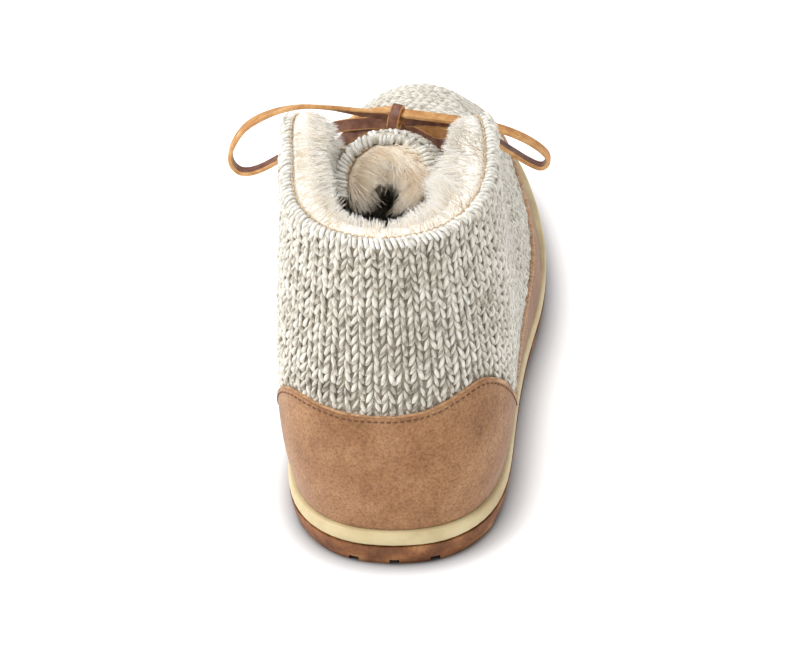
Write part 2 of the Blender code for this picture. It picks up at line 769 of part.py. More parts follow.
def tongue_point(share, across, depth):
    """Point of the tongue: share runs from root to top, across from -1 to 1, depth inwards."""
    table = np.array(TONGUE_ROWS)
    walked = share * (len(table) - 1)
    i = int(np.clip(walked, 0, len(table) - 2))
    t = walked - i
    padded = np.vstack([2 * table[0] - table[1], table, 2 * table[-1] - table[-2]])
    a, b, c, d = padded[i:i + 4]
    row = 0.5 * (2 * b + (c - a) * t + (2 * a - 5 * b + 4 * c - d) * t**2
                 + (3 * b - a - 3 * c + d) * t**3)
    slope = 0.5 * ((c - a) + 2 * (2 * a - 5 * b + 4 * c - d) * t
                   + 3 * (3 * b - a - 3 * c + d) * t**2)
    at = dict(zip(TONGUE_COLUMNS, row))
    run = dict(zip(TONGUE_COLUMNS, slope))
    length = math.hypot(run["y"], run["z"])
    up = np.array([0.0, run["z"] / length, -run["y"] / length])
    angle = math.radians(at["turn"]) * across
    centre = np.array([at["x"], at["y"], at["z"]]) - up * at["radius"]
    spoke = up * math.cos(angle) + np.array([math.sin(angle), 0.0, 0.0])
    return centre + spoke * (at["radius"] - depth)


def tongue_section(across):
    """Closed section from root to top along one line of the tongue, with its thick rim."""
    path = [(s, 0.0) for s in TONGUE_WALK]
    tip = tongue_point(1.0, across, 0.0) - tongue_point(TONGUE_WALK[-1], across, 0.0)
    reach = TONGUE_BEAD / np.linalg.norm(tip) * (1.0 - TONGUE_WALK[-1])
    for angle in (-30.0, 20.0, 65.0, 115.0, 160.0, 210.0):
        radians = math.radians(angle)
        path.append((1.0 - reach + reach * math.sin(radians),
                     TONGUE_THICK / 2.0 - TONGUE_BEAD * math.cos(radians)))
    path += [(s, TONGUE_THICK) for s in reversed(TONGUE_WALK)]
    return [tongue_point(s, across, depth) for s, depth in path]


def make_tongue(parts):
    walk = np.linspace(-1.0, 1.0, 2 * TONGUE_STATIONS + 1)
    mesh = sheet_mesh("tongue", [tongue_section(a) for a in walk])
    new_object("tongue", mesh, material("knit_tongue", (0.72, 0.69, 0.62), 0.9), parts)


def make_tongue_fur(parts, cutters):
    """Fur that lines the curled top of the tongue, with locks that point into the shoe."""
    first, last = TONGUE_FUR_SHARES
    near = TONGUE_THICK + 1.5 * GAP
    far = near + TONGUE_FUR_DEPTH
    path = ((first, near), ((first + last) / 2.0, near), (last - 0.03, near + 0.4),
            (last, near + 1.8), (last, far - 2.0), (last - 0.03, far),
            ((first + last) / 2.0, far), (first, far - 1.5))
    inner = np.arange(1 - TONGUE_STATIONS, TONGUE_STATIONS) / TONGUE_STATIONS
    walk = [-TONGUE_FUR_REACH, *inner, TONGUE_FUR_REACH]
    sections = [[tongue_point(s, a, depth) for s, depth in path] for a in walk]
    fur = new_object("tongue_fur", sheet_mesh("tongue_fur", sections),
                     material("tan_fur", (0.70, 0.52, 0.33), 0.95), parts)
    for i in range(TONGUE_LOCKS):
        across = -0.8 + 1.6 * i / (TONGUE_LOCKS - 1)
        share = last - 0.05 - 0.08 * (i % 2)
        root = tongue_point(share, across, far - LOCK_ROOT)
        tip = tongue_point(share - 0.04, across + 0.1, far + 1.0)
        add_lock(fur, root, tip - root, cutters)
    finish_mesh(fur.data)


def link_only(obj, collection):
    """Move an object made by an operator into one collection."""
    for owner in list(obj.users_collection):
        owner.objects.unlink(obj)
    collection.objects.link(obj)


def eyelet_frame(row, side):
    """Middle of an eyelet on the outermost skin, and the turn that carries +Z out of it."""
    place = EYELET_PLACES[row]
    climb = climb_below_rim(place, side, EYELET_FROM_RIM)
    centre = skin(place, side, climb, 0.0)
    outward = Vector(skin(place, side, climb, 1.0) - centre)
    return Vector(centre), Vector((0.0, 0.0, 1.0)).rotation_difference(outward)


def make_eyelet(name, centre, turn, metal, parts):
    """Turned eyelet: a flange on the knit and a barrel through it."""
    under = KNIT_OUT + EYELET_SEAT
    profile = (
        (EYELET_BORE, under + EYELET_SHEET * 0.5),
        (EYELET_BORE + 0.7, under + EYELET_SHEET),
        (EYELET_FLANGE - 0.5, under + EYELET_SHEET),
        (EYELET_FLANGE, under),
        (EYELET_BARREL, under),
        (EYELET_BARREL, KNIT_IN),
        (EYELET_BORE, KNIT_IN),
    )
    sides = 10
    rings = []
    for i in range(sides):
        angle = math.tau * i / sides
        around = Vector((math.cos(angle), math.sin(angle), 0.0))
        rings.append([tuple(centre + turn @ (around * r + Vector((0.0, 0.0, z))))
                      for r, z in profile])
    mesh = mesh_from_grid(name, rings, True, True)
    finish_mesh(mesh)
    new_object(name, mesh, metal, parts)


def make_eyelets(parts, cutters):
    metal = material("antique_brass", (0.45, 0.31, 0.15), 0.35, 1.0)
    upper = bpy.data.objects["upper"]
    for row in range(len(EYELET_PLACES)):
        for side, label in ((1.0, "lateral"), (-1.0, "medial")):
            centre, turn = eyelet_frame(row, side)
            bpy.ops.mesh.primitive_cylinder_add(vertices=10, radius=(EYELET_BARREL + GAP) * MM,
                                                depth=12.0 * MM, location=centre * MM,
                                                rotation=turn.to_euler())
            hole = bpy.context.active_object
            link_only(hole, cutters)
            cut(upper, hole)
            make_eyelet(f"eyelet_{label}_{row + 1}", centre, turn, metal, parts)
    finish_mesh(upper.data, 60.0)


def thong(name, points, across, collection, mat):
    """Flat thong with round edges: a curve whose width starts along a given direction."""
    points = [Vector(p) * MM for p in points]
    curve = bpy.data.curves.new(name, "CURVE")
    curve.dimensions = "3D"
    curve.twist_mode = "MINIMUM"
    curve.extrude = (LACE_WIDTH - LACE_THICK) / 2.0 * MM
    curve.bevel_depth = LACE_THICK / 2.0 * MM
    curve.bevel_resolution = 0
    curve.use_fill_caps = True
    spline = curve.splines.new("POLY")
    spline.points.add(len(points) - 1)
    along = (points[1] - points[0]).normalized()
    starts = along.to_track_quat("Z", "Y") @ Vector((0.0, 1.0, 0.0))
    wanted = Vector(across) - along * along.dot(Vector(across))
    tilt = math.atan2(starts.cross(wanted).dot(along), starts.dot(wanted))
    for spot, point in zip(spline.points, points):
        spot.co = (*point, 1.0)
        spot.tilt = tilt
    curve.materials.append(mat)
    obj = bpy.data.objects.new(name, curve)
    collection.objects.link(obj)
    return obj


def as_mesh(obj, collection):
    """Replace a curve object by the mesh that it draws, with its caps welded on."""
    depsgraph = bpy.context.evaluated_depsgraph_get()
    depsgraph.update()
    mesh = bpy.data.meshes.new_from_object(obj.evaluated_get(depsgraph))
    name = obj.name
    bpy.data.objects.remove(obj, do_unlink=True)
    finish_mesh(mesh, 50.0)
    solid = bpy.data.objects.new(name, mesh)
    collection.objects.link(solid)
    return solid


def lace_over_edge(row, side, towards):
    """Points of the lace from an eyelet's mouth over the rolled edge of the throat."""
    place = EYELET_PLACES[row]
    on_eyelet = KNIT_OUT + EYELET_SEAT + EYELET_SHEET + LACE_THICK / 2.0 + 3.0 * GAP
    steps = ((0.15, EYELET_FROM_RIM, on_eyelet), (0.4, EYELET_FROM_RIM * 0.5, on_eyelet + 0.3),
             (1.0, 0.0, 1.1))
    points = []
    for share, below, offset in steps:
        at = place + (towards - place) * 0.25 * share
        points.append(skin(at, side, climb_below_rim(at, side, below), offset))
    return points


def crossing(start, end):
    """One run of lace from an eyelet to one on the other side, over the tongue's arch."""
    (row_a, side_a), (row_b, side_b) = start, end
    first = lace_over_edge(row_a, side_a, EYELET_PLACES[row_b])
    last = lace_over_edge(row_b, side_b, EYELET_PLACES[row_a])
    middle = (first[-1] + last[-1]) / 2.0
    shares = np.linspace(0.0, 1.0, 41)
    arch_line = np.array([tongue_point(s, 0.0, 0.0) for s in shares])
    arch_height = np.interp(middle[1], arch_line[::-1, 1], arch_line[::-1, 2])
    middle[2] = max(middle[2] + 0.6, arch_height + LACE_THICK / 2.0 + 4.0 * GAP)
    return smooth_route([*first, middle, *last[::-1]], LACE_SPACING)


def make_lace(parts, cutters):
    leather = material("leather_thong", (0.36, 0.17, 0.07), 0.6)
    along_throat = (0.0, -0.8, 0.6)
    top = len(EYELET_PLACES) - 1
    routes = [crossing((0, 1.0), (0, -1.0))]
    for row in range(top):
        routes.append(crossing((row, 1.0), (row + 1, -1.0)))
        routes.append(crossing((row, -1.0), (row + 1, 1.0)))
    towards_knot = EYELET_PLACES[top] - 0.05
    for side, strip in ((-1.0, STRIP_MEDIAL), (1.0, STRIP_LATERAL)):
        over = lace_over_edge(top, side, towards_knot)
        routes.append(smooth_route([*over, *strip], LACE_SPACING))
    lace = None
    for points in routes:
        run = as_mesh(thong("lace_run", points, along_throat, cutters, leather), cutters)
        if lace is None:
            lace = run
            lace.name = "lace_crossings"
            link_only(lace, parts)
        else:
            cut(lace, run, "UNION")
    finish_mesh(lace.data, 50.0)


def make_bow(parts):
    leather = material("leather_bow", (0.36, 0.17, 0.07), 0.6)
    bpy.ops.mesh.primitive_cylinder_add(vertices=16, radius=0.5, depth=1.0,
                                        location=Vector(KNOT) * MM,
                                        rotation=(0.0, math.radians(90.0), 0.0))
    knot = bpy.context.active_object
    knot.name = "lace_knot"
    knot.scale = (KNOT_HEIGHT * MM, KNOT_DEPTH * MM, KNOT_WIDTH * MM)
    knot.rotation_mode = "QUATERNION"
    lean = Quaternion((1.0, 0.0, 0.0), math.radians(-KNOT_TILT))
    knot.rotation_quaternion = lean @ Quaternion((0.0, 1.0, 0.0), math.radians(90.0))
    link_only(knot, parts)
    knot.data.materials.append(leather)
    knot.data.shade_smooth()
    knot.data.set_sharp_from_angle(angle=math.radians(50.0))
    level = (0.0, 1.0, 0.0)
    crosswise = (1.0, 0.0, 0.0)
    routes = (("lace_loop_medial", LOOP_MEDIAL, level), ("lace_loop_lateral", LOOP_LATERAL, level),
              ("lace_end_medial", END_MEDIAL, crosswise),
              ("lace_end_lateral", END_LATERAL, crosswise))
    for name, route, across in routes:
        thong(name, smooth_route(route, LACE_SPACING), across, parts, leather)


def build():
    parts, cutters = scene_setup()
    make_outsole(parts, cutters)
    make_midsole(parts)
    make_insole(parts)
    make_upper(parts)
    make_counter(parts)
    make_mudguard(parts)
    make_tongue(parts)
    make_tongue_fur(parts, cutters)
    make_fur(parts, cutters)
    make_eyelets(parts, cutters)
    make_lace(parts, cutters)
    make_bow(parts)


build()
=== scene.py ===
import math

import bpy
import numpy as np
from mathutils import Matrix, Vector
from mathutils.bvhtree import BVHTree


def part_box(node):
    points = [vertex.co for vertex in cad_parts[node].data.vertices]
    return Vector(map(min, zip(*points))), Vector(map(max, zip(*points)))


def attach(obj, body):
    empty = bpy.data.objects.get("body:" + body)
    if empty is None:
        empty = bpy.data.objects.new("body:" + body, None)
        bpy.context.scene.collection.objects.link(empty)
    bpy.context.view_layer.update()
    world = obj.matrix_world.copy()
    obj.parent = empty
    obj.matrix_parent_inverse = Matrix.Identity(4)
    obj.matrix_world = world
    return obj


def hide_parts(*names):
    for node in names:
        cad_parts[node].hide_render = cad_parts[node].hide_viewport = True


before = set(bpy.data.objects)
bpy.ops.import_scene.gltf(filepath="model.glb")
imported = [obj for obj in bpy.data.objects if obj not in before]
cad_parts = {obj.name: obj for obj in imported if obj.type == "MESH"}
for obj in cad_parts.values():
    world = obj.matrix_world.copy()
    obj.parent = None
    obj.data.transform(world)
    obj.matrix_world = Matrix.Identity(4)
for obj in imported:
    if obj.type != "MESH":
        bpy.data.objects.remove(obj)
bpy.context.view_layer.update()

MM = 0.001


# Studio
# The boot stands on a white table lit from below, under soft light from the upper left. The camera
# stands behind the heel, looks down along the foot and is rolled a little, as in the picture.
CAMERA_TURN = math.radians(4.2775)
CAMERA_HEIGHT = math.radians(35.9583)
CAMERA_ROLL = math.radians(-2.6228)
CAMERA_DISTANCE = 0.948357
CAMERA_TARGET = Vector((-0.005686, -0.052, 0.039374))
FOCAL_PIXELS = 2642.55
IMAGE_WIDTH = 790
SENSOR = 36.0

away = Vector((math.sin(CAMERA_TURN) * math.cos(CAMERA_HEIGHT),
               -math.cos(CAMERA_TURN) * math.cos(CAMERA_HEIGHT),
               math.sin(CAMERA_HEIGHT)))
level = Vector((0.0, 0.0, 1.0)).cross(away).normalized()
upright = away.cross(level)
right = level * math.cos(CAMERA_ROLL) + upright * math.sin(CAMERA_ROLL)
above = upright * math.cos(CAMERA_ROLL) - level * math.sin(CAMERA_ROLL)
lens = bpy.data.cameras.new("camera")
lens.sensor_width = SENSOR
lens.lens = FOCAL_PIXELS / IMAGE_WIDTH * SENSOR
camera = bpy.data.objects.new("camera", lens)
bpy.context.scene.collection.objects.link(camera)
camera.matrix_world = (Matrix.Translation(CAMERA_TARGET + away * CAMERA_DISTANCE)
                       @ Matrix((right, above, away)).transposed().to_4x4())
bpy.context.scene.camera = camera


def finish(name, roughness, **values):
    """A Principled material; values name the shader's own sockets, with _ for a space."""
    made = bpy.data.materials.new(name)
    made.use_nodes = True
    shader = made.node_tree.nodes["Principled BSDF"]
    shader.inputs["Roughness"].default_value = roughness
    for socket, value in values.items():
        shader.inputs[socket.replace("_", " ")].default_value = value
    return made


def light(name, place, size, power, aim):
    lamp = bpy.data.lights.new(name, "AREA")
    lamp.energy = power
    lamp.size = size
    holder = bpy.data.objects.new(name, lamp)
    bpy.context.scene.collection.objects.link(holder)
    holder.location = place
    holder.rotation_euler = (Vector(aim) - Vector(place)).to_track_quat("-Z", "Y").to_euler()


SHAFT = (0.0, -0.02, 0.06)
light("key", (-1.6, -0.35, 1.4), 1.6, 34.0, SHAFT)
light("fill", (1.2, 0.1, 1.8), 1.8, 6.0, SHAFT)
light("top", (-0.2, -0.6, 1.7), 0.8, 8.0, (0.0, -0.04, 0.10))
sky = bpy.data.worlds.new("sky")
sky.use_nodes = True
sky.node_tree.nodes["Background"].inputs["Color"].default_value = (1.0, 1.0, 1.0, 1.0)
sky.node_tree.nodes["Background"].inputs["Strength"].default_value = 0.57
bpy.context.scene.world = sky
bpy.context.scene.view_settings.view_transform = "Standard"


def put(mat, kind, **values):
    """A node of a material; values name its sockets, with _ for a space."""
    made = mat.node_tree.nodes.new(kind)
    for socket, value in values.items():
        made.inputs[socket.replace("_", " ")].default_value = value
    return made


def wire(mat, output, socket, node=None):
    """Link an output to a socket of a node, or else of the material's shader."""
    target = mat.node_tree.nodes["Principled BSDF"] if node is None else node
    mat.node_tree.links.new(output, target.inputs[socket])


# The table's colour and its glow are darkened by ambient occlusion close to the boot: a painted contact
# shadow.
bpy.ops.mesh.primitive_plane_add(size=12.0, location=(0.0, 0.0, 0.0))
table = bpy.context.active_object
table.name = "lit_table"
opal = finish("opal_table", 0.8, Emission_Color=(1.0, 1.0, 1.0, 1.0))
painted_shadow_ao = put(opal, "ShaderNodeAmbientOcclusion", Color=(0.93, 0.93, 0.94, 1.0), Distance=0.013)
glow_dimmed_in_painted_shadow = put(opal, "ShaderNodeMapRange", From_Min=0.4, To_Max=0.42)
wire(opal, painted_shadow_ao.outputs["Color"], "Base Color")
wire(opal, painted_shadow_ao.outputs["AO"], "Value", glow_dimmed_in_painted_shadow)
wire(opal, glow_dimmed_in_painted_shadow.outputs["Result"], "Emission Strength")
table.data.materials.append(opal)


# Bow of the lace
# A flat leather thong, 4.4 mm wide: its grain side is dark red-brown, its flesh side and its cut
# edges are golden tan. Two loops and two short ends come out of a wrapped knot.
LACE_WIDTH = 4.4
LACE_THICK = 1.6
LACE_CORNER = 0.35
LACE_BULGE = (0.06, 0.04)
LOOP_MEDIAL = (
    (-7.3, -21.5, 112.9), (-16.7, -22.0, 114.5), (-27.2, -22.0, 116.3), (-37.7, -22.0, 116.8),
    (-47.8, -22.0, 114.4), (-57.0, -22.0, 109.1), (-62.4, -22.0, 101.5), (-63.8, -22.0, 95.0),
    (-60.8, -22.0, 90.4), (-55.0, -21.8, 90.6), (-46.0, -20.0, 94.6), (-36.5, -18.0, 100.8),
    (-26.5, -17.5, 105.4), (-16.7, -18.3, 107.5), (-7.3, -19.8, 108.9))
LOOP_LATERAL = (
    (-1.1, -21.5, 113.5), (7.9, -22.0, 112.4), (17.7, -22.0, 110.8), (30.3, -22.0, 108.0),
    (39.4, -22.0, 104.2), (46.3, -22.0, 99.4), (49.4, -22.0, 95.0), (47.2, -22.0, 91.6),
    (42.4, -22.0, 93.6), (35.7, -21.5, 98.2), (29.0, -20.5, 102.3), (17.0, -18.5, 106.8),
    (7.8, -18.5, 108.6), (-1.1, -20.0, 109.6))
END_MEDIAL = ((-4.2, -15.0, 110.4), (-7.0, -9.5, 108.2), (-12.5, -4.0, 104.5), (-19.5, 1.0, 98.5),
              (-25.5, 4.5, 91.5))
END_LATERAL = ((-4.2, -16.6, 107.6), (-1.5, -11.5, 105.2), (4.0, -5.0, 102.5), (11.5, 0.5, 98.0),
               (18.0, 4.0, 91.5))
THONG_STEP = 1.3
SHARP_EDGE = 38.0
KNOT = (-4.2, -20.0, 111.0)
KNOT_DEPTH = 7.6
KNOT_HEIGHT = 9.8
KNOT_TILT = math.radians(31.5)
KNOT_TURN = math.radians(-17.0)
KNOT_LEAN = math.radians(6.0)
KNOT_SLIM = 0.92
CORE_SLIM = 0.72


def cloud(mat, scale, detail, stretch=(1.0, 1.0, 1.0), rough=0.55):
    """Noise on the piece's own coordinates, its size given as lumps per metre."""
    spread = put(mat, "ShaderNodeMapping", Scale=stretch)
    noise = put(mat, "ShaderNodeTexNoise", Scale=scale, Detail=detail, Roughness=rough)
    wire(mat, put(mat, "ShaderNodeTexCoord").outputs["Object"], "Vector", spread)
    wire(mat, spread.outputs["Vector"], "Vector", noise)
    return noise.outputs["Fac"]


def shades(mat, factor, *stops):
    """Colours along a ramp over an output, or over a cloud given by its settings."""
    ramp = put(mat, "ShaderNodeValToRGB")
    while len(ramp.color_ramp.elements) < len(stops):
        ramp.color_ramp.elements.new(0.5)
    for element, (place, colour) in zip(ramp.color_ramp.elements, stops):
        element.position = place
        element.color = (*colour, 1.0)
    wire(mat, cloud(mat, *factor) if isinstance(factor, tuple) else factor, "Fac", ramp)
    return ramp.outputs["Color"]


def blend_colours(mat, factor, first, second, kind="MIX"):
    mix = put(mat, "ShaderNodeMix")
    mix.data_type = "RGBA"
    mix.blend_type = kind
    if isinstance(factor, float):
        mix.inputs["Factor"].default_value = factor
    else:
        wire(mat, factor, "Factor", mix)
    wire(mat, first, 6, mix)
    wire(mat, second, 7, mix)
    return mix.outputs[2]


def relief(mat, *layers):
    """Bump from outputs or clouds, each with its depth in millimetres and a strength."""
    normal = None
    for height, depth, strength in layers:
        bump = put(mat, "ShaderNodeBump", Distance=depth * MM, Strength=strength)
        wire(mat, cloud(mat, *height) if isinstance(height, tuple) else height, "Height", bump)
        if normal is not None:
            wire(mat, normal, "Normal", bump)
        normal = bump.outputs["Normal"]
    wire(mat, normal, "Normal")


def leather(name, roughness, grain, *tones):
    made = finish(name, roughness, Coat_Weight=0.06, Coat_Roughness=0.4)
    wire(made, shades(made, (260.0, 6.0), *zip((0.30, 0.50, 0.72), tones)), "Base Color")
    relief(made, ((2600.0, 3.0), grain, 0.5), ((500.0, 4.0), 0.25, 0.4))
    return made


grain_side = leather("lace_grain", 0.40, 0.06, (0.100, 0.032, 0.018), (0.205, 0.078, 0.044),
                     (0.330, 0.158, 0.092))
flesh_side = leather("lace_flesh", 0.75, 0.12, (0.36, 0.155, 0.048), (0.54, 0.26, 0.085),
                     (0.70, 0.41, 0.18))
cut_edge = leather("lace_cut_edge", 0.7, 0.10, (0.42, 0.19, 0.055), (0.60, 0.31, 0.11),
                   (0.74, 0.47, 0.22))


def unit(v):
    return v / np.maximum(np.linalg.norm(v, axis=-1, keepdims=True), 1e-12)


def run_of(line):
    """How far along a line each of its points lies."""
    return np.append(0.0, np.cumsum(np.linalg.norm(np.diff(line, axis=0), axis=1)))


def read(at, run, rows):
    """Rows of values read off at places along a run."""
    return np.stack([np.interp(at, run, column) for column in rows.T], axis=-1)


def even_steps(line, spacing):
    """A line read again at steps of the same length."""
    run = run_of(line)
    return read(np.linspace(0.0, run[-1], max(3, int(round(run[-1] / spacing)) + 1)), run, line)


def smooth_route(points, spacing):
    """Points at even steps along one smooth curve through a short list of points."""
    control = np.array(points, float)
    padded = np.vstack([2 * control[0] - control[1], control, 2 * control[-1] - control[-2]])
    fine = []
    for i in range(1, len(padded) - 2):
        a, b, c, d = padded[i - 1:i + 3]
        for t in np.linspace(0.0, 1.0, 16, endpoint=False):
            fine.append(0.5 * (2 * b + (c - a) * t + (2 * a - 5 * b + 4 * c - d) * t**2
                               + (3 * b - a - 3 * c + d) * t**3))
    return even_steps(np.array([*fine, control[-1]]), spacing)


def pick(piece):
    """Select one piece alone."""
    bpy.ops.object.select_all(action="DESELECT")
    piece.select_set(True)
    bpy.context.view_layer.objects.active = piece


def mesh_piece(name, points, faces, *mats):
    """A piece from points in millimetres."""
    mesh = bpy.data.meshes.new(name)
    mesh.from_pydata((points * MM).tolist(), [], faces)
    for mat in mats:
        mesh.materials.append(mat)
    mesh.update()
    piece = bpy.data.objects.new(name, mesh)
    bpy.context.scene.collection.objects.link(piece)
    return piece


def tidy_faces(piece, sharp_degrees):
    """Turn every face outwards and keep the edges that are sharper than an angle."""
    pick(piece)
    bpy.ops.object.mode_set(mode="EDIT")
    bpy.ops.mesh.select_all(action="SELECT")
    bpy.ops.mesh.normals_make_consistent(inside=False)
    bpy.ops.object.mode_set(mode="OBJECT")
    bpy.ops.object.shade_smooth_by_angle(angle=math.radians(sharp_degrees))
    piece.select_set(False)


WAVE_PERIOD = math.tau / 10.0


def settle(piece, node=None):
    """Every piece rides on the boot's one body; some stand for a solid."""
    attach(piece, "root")
    if node is not None:
        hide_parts(node)


def tube_faces(rings, sides, turns=0.0, pointed=True):
    """Faces of a tube, whose rings may be followed by two end points, and coordinates in which the
    wave of two plies closes round it and turns along it."""
    faces, corners = [], []
    around, along = WAVE_PERIOD, WAVE_PERIOD * turns
    for i in range(rings - 1):
        for j in range(sides):
            k = (j + 1) % sides
            faces.append((i * sides + j, i * sides + k, (i + 1) * sides + k, (i + 1) * sides + j))
            u, v = j / sides * around, i / (rings - 1) * along
            up, on = (j + 1) / sides * around, (i + 1) / (rings - 1) * along
            corners.append(((u, v), (up, v), (up, on), (u, on)))
    last = (rings - 1) * sides
    for j in range(sides) if pointed else ():
        k = (j + 1) % sides
        faces += [(last + sides, k, j), (last + sides + 1, last + j, last + k)]
        corners += [((0.5 * around, 0.0),) * 3, ((0.5 * around, along),) * 3]
    return faces, corners


def thong(name, line, across, flesh_out, closed=False, widths=1.0, slim=1.0, twist=((0.0, 0.0),)):
    """Flat thong swept along a line; flesh_out is +1 or -1 for the flesh side."""
    along = unit(np.gradient(line, axis=0))
    width = [unit(np.array(across, float) - along[0] * np.dot(across, along[0]))]
    for tangent in along[1:]:
        width.append(unit(width[-1] - tangent * np.dot(width[-1], tangent)))
    width = np.array(width)
    turned = np.radians(np.interp(np.linspace(0.0, 1.0, len(line)), *np.array(twist).T))[:, None]
    width = width * np.cos(turned) + np.cross(along, width) * np.sin(turned)
    thick = np.cross(along, width)
    half, flat, corner = LACE_WIDTH / 2.0 * slim, LACE_THICK / 2.0 * slim, LACE_CORNER
    profile = np.array([
        (half, -flat + corner), (half, flat - corner), (half - corner, flat),
        (0.0, flat + LACE_BULGE[0]), (corner - half, flat), (-half, flat - corner), (-half, corner - flat),
        (corner - half, -flat), (0.0, -flat - LACE_BULGE[1]), (half - corner, -flat)])
    scale = np.broadcast_to(widths, len(line))[:, None, None]
    rings = (line[:, None] + width[:, None] * (profile[:, 0:1] * scale)
             + thick[:, None] * profile[:, 1:2])
    sides, total = len(profile), len(profile) * len(line)
    faces, _ = tube_faces(len(line) + closed, sides, pointed=False)
    faces = [[k % total for k in face] for face in faces]
    edge, top, base = 2, int(flesh_out > 0), int(flesh_out < 0)
    indices = [edge, edge, top, top, edge, edge, edge, base, base, edge] * (len(faces) // sides)
    if not closed:
        faces += [list(range(sides))[::-1], list(range(total - sides, total))]
        indices += [edge, edge]
    piece = mesh_piece(name, rings.reshape(-1, 3), faces, grain_side, flesh_side, cut_edge)
    piece.data.polygons.foreach_set("material_index", indices)
    tidy_faces(piece, SHARP_EDGE)
    return piece


for name, route, across, flesh_out, far_end, twist in (
        ("lace_loop_medial", LOOP_MEDIAL, (0.0, 1.0, 0.0), -1, "object",
         ((0.0, 70.0), (0.14, 37.0), (0.24, 25.0), (0.36, 0.0), (0.76, 0.0), (0.87, 48.0), (1.0, 60.0))),
        ("lace_loop_lateral", LOOP_LATERAL, (0.0, 1.0, 0.0), 1, "object",
         ((0.0, 0.0), (0.74, 0.0), (0.87, -48.0), (1.0, -64.0))),
        ("lace_end_medial", END_MEDIAL, (1.0, 0.0, 0.0), -1, "bare", ((0.0, 0.0),)),
        ("lace_end_lateral", END_LATERAL, (1.0, 0.0, 0.0), -1, "bare", ((0.0, 0.0),))):
    line = smooth_route(route, THONG_STEP)
    piece = thong(name + "_thong", line, across, flesh_out, twist=twist)
    settle(piece, name)

# The knot is one turn of the thong, grain side out, round the strands that cross inside it. It
# stands a little askew, so that its golden edge shows on the outer side.
turns = np.linspace(0.0, math.tau, 40, endpoint=False)
askew = Matrix.Rotation(KNOT_TURN, 3, "Z") @ Matrix.Rotation(KNOT_LEAN, 3, "Y")
knot_across = np.array(askew @ Vector((1.0, 0.0, 0.0)))
knot_back = np.array(askew @ Vector((0.0, math.cos(KNOT_TILT), -math.sin(KNOT_TILT))))
knot_up = np.array(askew @ Vector((0.0, math.sin(KNOT_TILT), math.cos(KNOT_TILT))))
oval = (np.array(KNOT) + np.outer(np.cos(turns), knot_back) * (KNOT_DEPTH - LACE_THICK) / 2.0
        + np.outer(np.sin(turns), knot_up) * (KNOT_HEIGHT - LACE_THICK) / 2.0)
settle(thong("lace_knot_wrap", oval, knot_across, -1, closed=True, slim=KNOT_SLIM),
       "lace_knot")
for name, twist, *route in (
        ("lace_knot_core", ((0.0, -60.0), (0.6, 0.0)),
         (-7.8, -21.4, 112.9), (-4.2, -19.4, 112.2), (0.2, -21.5, 113.4)),
        ("lace_knot_under", ((0.0, 40.0),),
         (-8.2, -19.7, 109.0), (-4.2, -18.6, 109.6), (0.2, -19.8, 109.6))):
    core = thong(name, smooth_route(route, 1.0), (0.0, 1.0, 0.0), 1, slim=CORE_SLIM, twist=twist)
    settle(core)


# Sole
# Gum-rubber outsole with a mottled satin skin, and a cream foam midsole over it. The insole is a
# footbed covered with short pile.
def smooth_copy(node, name, mat, sharp_degrees, levels, bevel=0.0):
    """A copy that stands for a solid, its facets rounded and its sharp edges kept or bevelled."""
    sharp = math.radians(sharp_degrees)
    piece = bpy.data.objects.new(name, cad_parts[node].data.copy())
    bpy.context.scene.collection.objects.link(piece)
    piece.data.materials.clear()
    pick(piece)
    bpy.ops.mesh.customdata_custom_splitnormals_clear()
    bpy.ops.object.mode_set(mode="EDIT")
    bpy.ops.mesh.select_mode(type="EDGE")
    bpy.ops.mesh.select_all(action="SELECT")
    bpy.ops.mesh.remove_doubles(threshold=0.02 * MM)
    bpy.ops.mesh.tris_convert_to_quads(face_threshold=math.radians(35.0),
                                       shape_threshold=math.radians(75.0))
    bpy.ops.mesh.select_all(action="DESELECT")
    if bevel:
        bpy.ops.object.mode_set(mode="OBJECT")
        lip = piece.modifiers.new("lip", "BEVEL")
        lip.width = bevel * MM
        lip.segments = 3
        lip.angle_limit = sharp
        bpy.ops.object.modifier_apply(modifier="lip")
        bpy.ops.object.mode_set(mode="EDIT")
    bpy.ops.mesh.edges_select_sharp(sharpness=sharp)
    bpy.ops.object.mode_set(mode="OBJECT")
    crease = piece.data.attributes.new("crease_edge", "FLOAT", "EDGE")
    crease.data.foreach_set("value", [float(edge.select) for edge in piece.data.edges])
    rounding = piece.modifiers.new("rounding", "SUBSURF")
    rounding.levels = levels
    bpy.ops.object.modifier_apply(modifier="rounding")
    bpy.ops.object.shade_smooth_by_angle(angle=sharp)
    piece.select_set(False)
    piece.data.materials.append(mat)
    settle(piece, node)
    return piece


gum = finish("gum_rubber", 0.55, Specular_IOR_Level=0.3)
mottle = shades(gum, (90.0, 5.0), (0.36, (0.15, 0.052, 0.016)), (0.5, (0.26, 0.098, 0.032)),
                (0.64, (0.40, 0.185, 0.066)))
specks = shades(gum, (900.0, 3.0), (0.40, (0.55, 0.55, 0.55)), (0.55, (1.0, 1.0, 1.0)))
wire(gum, blend_colours(gum, 0.5, mottle, specks, "MULTIPLY"), "Base Color")
relief(gum, ((1500.0, 3.0), 0.10, 0.5), ((160.0, 4.0), 0.5, 0.4))
smooth_copy("outsole", "gum_outsole", gum, 28.0, 2)

foam = finish("cream_foam", 0.5, Subsurface_Weight=0.05)
wire(foam, shades(foam, (60.0, 5.0), (0.35, (0.50, 0.385, 0.20)), (0.55, (0.61, 0.49, 0.275)),
                  (0.75, (0.70, 0.59, 0.36))), "Base Color")
relief(foam, ((2200.0, 2.0), 0.05, 0.5), ((220.0, 3.0), 0.3, 0.3))
smooth_copy("midsole", "cream_midsole", foam, 50.0, 1, bevel=1.3)


def attribute(mat, name):
    """A number that each point of a piece carries, read in its material."""
    reader = put(mat, "ShaderNodeAttribute")
    reader.attribute_name = name
    return reader.outputs["Fac"]


